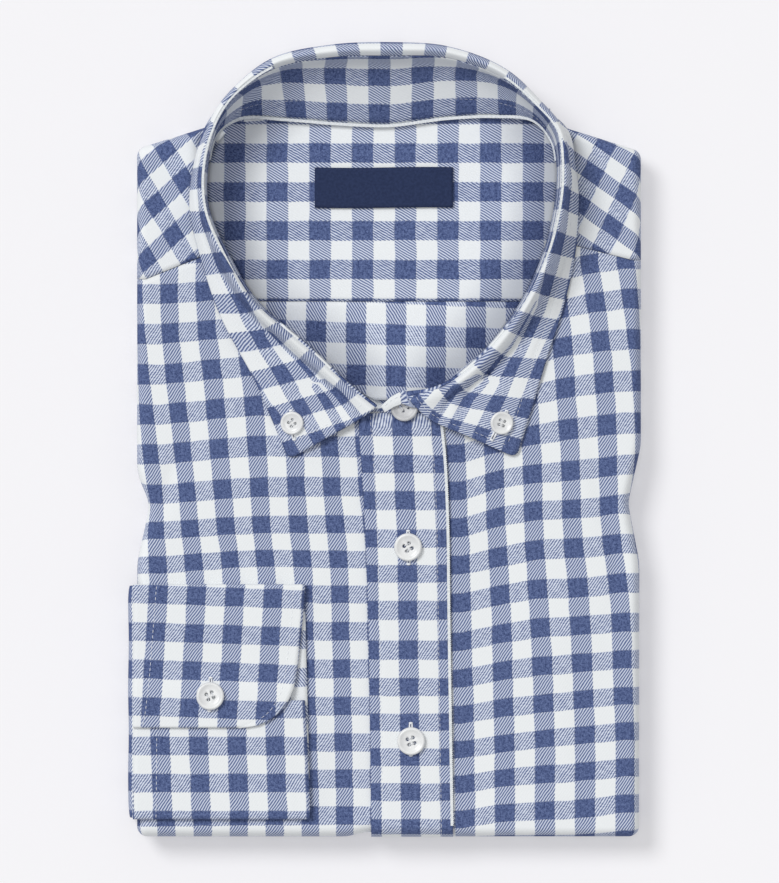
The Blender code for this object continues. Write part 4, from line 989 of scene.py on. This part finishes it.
for depth, height in steps:
    rings.append([shape.verts.new((x * mm, y * mm, height * mm)) for x, y in points - normals * depth])
for level, (lower, upper) in enumerate(zip(rings, rings[1:])):
    for i in range(len(lower)):
        after = (i + 1) % len(lower)
        face = shape.faces.new((lower[i], lower[after], upper[after], upper[i]))
        face.smooth = True
        ends = ((i, level), (i + 1, level), (i + 1, level + 1), (i, level + 1))
        for loop, (k, ring) in zip(face.loops, ends):
            loop[weaveLayer].uv = (around[k], upward[ring])
for ring in (rings[0][::-1], rings[-1]):
    for loop in shape.faces.new(ring).loops:
        loop[weaveLayer].uv = loop.vert.co.xy / mm / layers["square"]
hidden = addPiece("hiddenLayers", meshFrom("hiddenLayers", shape), outsideCloth, layers["node"])
shape = bmesh.new()
weaveLayer = shape.loops.layers.uv.new("cloth")
base = shape.faces.new([shape.verts.new((x * mm, y * mm, layers["hollowFloor"] * mm)) for x, y in hollow])
raised = bmesh.ops.extrude_face_region(shape, geom=[base])["geom"]
lifted = [item for item in raised if isinstance(item, bmesh.types.BMVert)]
bmesh.ops.translate(shape, verts=lifted, vec=(0, 0, layers["hollowTall"] * mm))
bmesh.ops.recalc_face_normals(shape, faces=shape.faces)
for face in shape.faces:
    for loop in face.loops:
        at = loop.vert.co / mm / layers["square"]
        loop[weaveLayer].uv = (at.x + at.y, at.z)
cutOut(hidden, [place("hollowCutter", meshFrom("hollowCutter", shape))])
values = np.zeros(len(hidden.data.loops) * 2, np.float32)
hidden.data.uv_layers["cloth"].uv.foreach_get("vector", values)
hidden.data.uv_layers.new(name="threads").uv.foreach_set("vector", values)
print("hidden layers made")


# small pieces
def surfaceAt(grid, x, y):
    # the highest place of a piece near a spot in plan, with its upward normal
    centres = (grid[:-1, :-1] + grid[1:, :-1] + grid[:-1, 1:] + grid[1:, 1:]) / 4
    gap = (centres[..., 0] - x) ** 2 + (centres[..., 1] - y) ** 2 - 8 * centres[..., 2]
    i, j = np.unravel_index(np.argmin(gap), gap.shape)
    normal = lengthOne(np.cross(grid[i + 1, j] - grid[i, j], grid[i, j + 1] - grid[i, j]))
    normal *= np.sign(normal[2])
    centre = centres[i, j]
    height = centre[2] - (normal[0] * (x - centre[0]) + normal[1] * (y - centre[1])) / normal[2]
    return Vector((x, y, height)), Vector(normal)


button = {
    "large": 12.3, "small": 10.2, "high": 2.2, "hole": 0.78, "spread": 1.75, "segments": 56, "gap": 0.35,
    "thread": 0.2,
}
buttons = (  # piece, node, x, y, size, rests on, turn
    ("buttonFront1", "button_front_1", 8.4, -47.1, "large", placketGrid, 4),
    ("buttonFront2", "button_front_2", 9.7, -132.4, "large", placketGrid, -6),
    ("buttonPointRight", "button_point_right", -42.5, 7.5, "small", leaf, 12),
    ("buttonPointLeft", "button_point_left", 49.4, 7.5, "small", leaf, -8),
    ("buttonCuff", "button_cuff", -78.6, -112.6, "large", cuffGrid, 20),
)


def makeButton(name, node, diameter, seat, normal, spin, material=resin, hole=button["hole"]):
    size = diameter / button["large"]
    high, spread = button["high"] * size, button["spread"] * size
    profile = (  # share of the radius, share of the height
        (0, 0), (0.8, 0), (0.93, 0.14), (1, 0.38), (1, 0.62), (0.97, 0.84), (0.91, 0.97), (0.85, 1),
        (0.79, 0.95), (0.72, 0.84), (0.62, 0.73), (0.48, 0.68), (0, 0.66),
    )
    line = [(r * diameter / 2 * mm, 0, z * high * mm) for r, z in profile[::-1]]
    mesh = bpy.data.meshes.new(name)
    mesh.from_pydata(line, [(i, i + 1) for i in range(len(line) - 1)], [])
    piece = addPiece(name, mesh, material, node)
    turned = piece.modifiers.new("Turn", "SCREW")
    turned.steps = turned.render_steps = button["segments"]
    turned.use_merge_vertices = True
    turned.merge_threshold = 0.00002
    turned.use_normal_calculate = True
    turned.use_smooth_shade = True
    drills = []
    wide, deep = hole * size * mm, 4 * high * mm
    for k in range(4):
        shape = bmesh.new()
        bmesh.ops.create_cone(shape, cap_ends=True, segments=16, radius1=wide, radius2=wide, depth=deep)
        drill = place(f"drill{k}", meshFrom("drill", shape))
        way = radians(45 + 90 * k)
        drill.location = (spread * cos(way) * mm, spread * sin(way) * mm, 0)
        drills.append(drill)
    cutOut(piece, drills)
    toSeat = Matrix.Translation((seat + normal * button["gap"]) * mm)
    toSeat = toSeat @ normal.to_track_quat("Z", "Y").to_matrix().to_4x4()
    toSeat = toSeat @ Matrix.Rotation(radians(spin), 4, "Z")
    piece.data.transform(toSeat)
    # a thread down each pair of holes
    rods = bmesh.new()
    reach = spread * cos(radians(45))
    arch = ((-1, 0.3), (-0.92, 0.66), (-0.4, 0.8), (0.4, 0.8), (0.92, 0.66), (1, 0.3))
    for side in (-1, 1):
        addTube(rods, [Vector((side * reach, y * reach, z * high)) for y, z in arch], button["thread"], 6)
    mesh = meshFrom(f"{name}Thread", rods)
    mesh.transform(toSeat)
    mesh.shade_smooth()
    addPiece(f"{name}Thread", mesh, threadWhite)


def addTube(shape, line, radius, sides):
    # a closed tube along a line, thinner at its ends
    rings = []
    for i, point in enumerate(line):
        ahead = (line[min(i + 1, len(line) - 1)] - line[max(i - 1, 0)]).normalized()
        side = ahead.orthogonal().normalized()
        other = ahead.cross(side)
        wide = radius * (0.5 if i in (0, len(line) - 1) else 1.0)
        turns = [2 * pi * k / sides for k in range(sides)]
        rings.append([
            shape.verts.new((point + (side * cos(turn) + other * sin(turn)) * wide) * mm) for turn in turns
        ])
    for first, second in zip(rings, rings[1:]):
        # orthogonal() may turn from one ring to the next, so the second is matched to the first
        start = min(range(sides), key=lambda k: (second[k].co - first[0].co).length)
        second = second[start:] + second[:start]
        for k in range(sides):
            after = (k + 1) % sides
            shape.faces.new((first[k], first[after], second[after], second[k]))
    shape.faces.new(rings[0][::-1])
    shape.faces.new(rings[-1])


buttonhole = {"aside": 0.55, "welt": 0.52, "bar": 0.55, "slit": 0.2, "rise": 0.12}


def makeButtonhole(name, seat, normal, direction, length):
    # a worked buttonhole: two welts, a bar at each end and the slit between them, a dark tube that is painted
    # shade in the cut
    along = Vector((cos(radians(direction)), sin(radians(direction)), 0))
    along = (along - normal * along.dot(normal)).normalized()
    aside = normal.cross(along)

    def spot(share, side, rise):
        return seat + along * length * share + aside * buttonhole["aside"] * side + normal * rise

    welts = bmesh.new()
    rise = buttonhole["rise"]
    for side in (-1, 1):
        line = [spot(share, side, rise) for share in (-0.5, -0.3, 0, 0.3, 0.5)]
        addTube(welts, line, buttonhole["welt"], 8)
    for end in (-0.5, 0.5):
        line = [spot(end, side * 1.6, rise + 0.04) for side in (-1, -0.4, 0.4, 1)]
        addTube(welts, line, buttonhole["bar"], 8)
    mesh = meshFrom(name, welts)
    mesh.shade_smooth()
    addPiece(name, mesh, threadWhite)
    # the slit is a dark tube of painted shade
    slit = bmesh.new()
    addTube(slit, [spot(share, 0, rise + 0.18) for share in (-0.43, 0, 0.43)], buttonhole["slit"], 6)
    addPiece(f"{name}Slit", meshFrom(f"{name}Slit", slit), slitShade)


for name, node, x, y, size, carrier, spin in buttons:
    seat, normal = surfaceAt(carrier, x, y)
    makeButton(name, node, button[size], seat, normal, spin)
bandButton = {"centre": (6.8, 14.3, 24.3), "normal": (-0.03, 0.05, 1.0), "hole": 0.5}
seat, normal = Vector(bandButton["centre"]), Vector(bandButton["normal"]).normalized()
makeButton("buttonBand", "button_band", button["large"], seat, normal, 2, resinShaded, bandButton["hole"])

holes = (  # name, x, y, direction, length, carrier
    ("holeFront1", 8.5, -47.3, 91, 14.6, placketGrid),
    ("holeFront2", 9.6, -131.6, 90, 14.2, placketGrid),
    ("holePointRight", -42.4, 6.6, 96, 12.8, leaf),
    ("holePointLeft", 48.4, 6.4, 62, 14.4, leaf),
    ("holeCuff", -78.7, -111.8, 88, 14.6, cuffGrid),
)
for name, x, y, direction, length, carrier in holes:
    seat, normal = surfaceAt(carrier, x, y)
    makeButtonhole(name, seat, normal, direction, length)
print("buttons made")

label = {
    "node": "label", "wall": 0.7, "flat": (0.061, 0.018), "restsOn": ["yoke_inner"], "slot": "label_weave",
    "left": -32.7, "right": 28.2, "low": 102.3, "high": 120.1, "top": 13.6, "sag": 0.005, "weave": 4,
}
x, y = np.meshgrid(
    np.linspace(label["left"], label["right"], 41), np.linspace(label["high"], label["low"], 13),
)
z = label["top"] - label["sag"] * np.abs(x) + 0.08 * np.sin(x / 5 + y / 7)
grid = together(x, y + 0.2 * np.sin(x / 11), z)
clothPiece("labelStrip", grid, grid[..., :2] / label["weave"], label, labelCloth)

# stitches: on the leaf, placket and cuff, on the band, and down the cuff's left side
stitch = {"pitch": 2.6, "length": 1.7, "wide": 0.12, "lift": 0.03}
bandStitch = {"pitch": 2.2, "length": 1.5, "wide": 0.07, "lift": 0.02}
cuffStitch = {"pitch": 2.4, "length": 1.4, "wide": 0.17, "lift": 0.03}


def addStitches(name, path, facts=stitch):
    # stitches along a line of points on the outer face of a piece
    run = runOf(path)
    shape = bmesh.new()
    lift = Vector((0, 0, facts["lift"]))
    for at in np.arange(facts["pitch"] / 2, run[-1] - facts["length"], facts["pitch"]):
        stops = (at, at + facts["length"])
        start, end = (Vector([np.interp(stop, run, column) for column in path.T]) + lift for stop in stops)
        addTube(shape, [start, (start + end) / 2 + Vector((0, 0, 0.08)), end], facts["wide"], 4)
    addPiece(name, meshFrom(name, shape), threadWhite)


def lineAcross(grid, inward):
    # a line at a set distance from the last column of a grid
    made = []
    for row, run in zip(grid, runAcross(grid)):
        made.append([np.interp(run[-1] - inward, run, column) for column in row.T])
    return np.array(made)


def slantedColumn(rows, first, last):
    # a line down a grid that drifts from one column to another
    made = []
    for row, at in zip(rows, np.linspace(first, last, len(rows))):
        k = int(at)
        made.append(row[k] + (row[k + 1] - row[k]) * (at - k))
    return np.array(made)


def addRibbon(name, line, facts):
    # a narrow flat strip along a line, with small notches on one side
    shape = bmesh.new()
    rings = []
    half, up = facts["wide"] / 2, (0, 0, facts["high"])
    for i, point in enumerate(line):
        side = lengthOne(np.cross(line[min(i + 1, len(line) - 1)] - line[max(i - 1, 0)], (0, 0, 1.0)))
        far = side * (half - facts.get("notch", 0) * (i % 2))
        corners = (side * -half, far, far + up, side * -half + up)
        rings.append([shape.verts.new(Vector(point + corner) * mm) for corner in corners])
    for first, second in zip(rings, rings[1:]):
        for k in range(4):
            shape.faces.new((first[k], second[k], second[(k + 1) % 4], first[(k + 1) % 4]))
    shape.faces.new(rings[0])
    shape.faces.new(rings[-1][::-1])
    bmesh.ops.recalc_face_normals(shape, faces=shape.faces)
    addPiece(name, meshFrom(name, shape), edgeAndHighlightCloth)


leafStitch = lineAcross(leaf, collar["stitchIn"])
inward = 4      # sections between a front edge of the leaf and its stitches
addStitches("stitchLeafEdge", leafStitch[inward:-inward])
for side, section in (("Right", inward), ("Left", len(leaf) - 1 - inward)):
    stop = int(np.argmin(np.linalg.norm(leaf[section] - leafStitch[section], axis=1)))
    addStitches(f"stitchLeafFront{side}", leaf[section, 10 : stop + 1])

# light edgings beside the placket and at the band's foot behind the neck, and light strips under the crest at
# the neck's sides that are a painted highlight
placketEdging = {"wide": 1.4, "high": 0.32, "notch": 0.3, "from": (-0.4, 0, 0.12)}
bandEdging = {"wide": 1.3, "high": 0.7, "from": (0, 0, 0.5), "behind": 122}
crestHighlight = {
    "wide": 1.1, "high": 0.5, "from": 0.75, "sink": 1.5, "sinkY": (66, 92), "behind": 66, "beyond": 50,
}
line = pointsAlong(placketGrid[: -placket["turns"], -1], np.linspace(0, 1, 400)) + placketEdging["from"]
addRibbon("placketEdging", line[::-1], placketEdging)
line = band[:-bandEnd, 0]
line = pointsAlong(line[line[:, 1] > bandEdging["behind"]], np.linspace(0, 1, 200))
addRibbon("bandEdging", line + bandEdging["from"], bandEdging)
# painted highlight: a light strip along the roll under the crest
for side, sign in (("Right", -1), ("Left", 1)):
    line = lines["crest"] * 0.45 + lines["seam"] * 0.55
    line = line[(line[:, 0] * sign > crestHighlight["beyond"]) & (line[:, 1] > crestHighlight["behind"])]
    line = pointsAlong(line, np.linspace(0, 1, 110))
    line[:, 2] += crestHighlight["from"] - crestHighlight["sink"] * (1 - smoothStep(line[:, 1], *crestHighlight["sinkY"]))
    addRibbon(f"crestHighlight{side}", line, crestHighlight)
addStitches("stitchPlacketLeft", placketGrid[:, 4])
addStitches("stitchPlacketRight", placketGrid[:, -5])
addStitches("stitchBandFoot", band[:, 3], bandStitch)
addStitches("stitchBandFront", band[-bandEnd:, -4] + (0, -0.6, 1.0))
outerPly = cuffGrid[topFold + 1 :]
addStitches("stitchCuffSeam", slantedColumn(outerPly, 4.8, 2.6), cuffStitch)
addStitches("stitchCuffEdge", lineAcross(outerPly, cuff["stitchIn"])[:-3])
addStitches("stitchCuffUnder", slantedColumn(cuffGrid[6:lapEnd], 4.7, 4.4), cuffStitch)
print("stitches made")

# ground, light and camera
ground = {
    "half": 3000, "height": 0.02, "colour": (0.565, 0.561, 0.574, 1),
    "glow": (0.922, 0.914, 0.940, 1), "glowStrength": 0.375,
}
x, y = np.meshgrid((-ground["half"], ground["half"]), (-ground["half"], ground["half"]))
sheet = place("ground", gridMesh("ground", together(x, y, ground["height"]), turnedOver=True))
material, tree, shader = startMaterial("groundPaper")
shader.inputs["Base Color"].default_value = ground["colour"]
shader.inputs["Emission Color"].default_value = ground["glow"]
shader.inputs["Emission Strength"].default_value = ground["glowStrength"]
shader.inputs["Roughness"].default_value = 1.0
shader.inputs["Specular IOR Level"].default_value = 0.0
sheet.data.materials.append(material)

light = {
    "sky": 0.46,
    "suns": (  # strength, where its light goes, apparent size
        (0.36, (0.03, -0.04, -1.0), 14),
        (1.68, (0.50, -0.48, -1.0), 22),
    ),
}
world = bpy.data.worlds.new("softSky")
world.use_nodes = True
sky = world.node_tree.nodes["Background"].inputs
sky["Color"].default_value = (1.0, 1.0, 1.0, 1)
sky["Strength"].default_value = light["sky"]
bpy.context.scene.world = world
for strength, way, size in light["suns"]:
    lamp = bpy.data.lights.new("sun", "SUN")
    lamp.energy = strength
    lamp.angle = radians(size)
    place("sun", lamp).rotation_euler = Vector(way).to_track_quat("-Z", "Y").to_euler()

view = {"pixels": 883, "pixel": 0.44, "x": 0.22, "y": -0.66, "over": 20, "lens": 600, "sensor": 36}
cameraData = bpy.data.cameras.new("camera")
cameraData.lens = view["lens"]
cameraData.sensor_width = view["sensor"]
cameraData.sensor_fit = "AUTO"
cameraData.clip_end = 100
distance = view["pixels"] * view["pixel"] * mm * cameraData.lens / view["sensor"]
camera = place("camera", cameraData)
camera.location = (view["x"] * mm, view["y"] * mm, distance + view["over"] * mm)
bpy.context.scene.camera = camera
bpy.context.scene.view_settings.view_transform = "Standard"
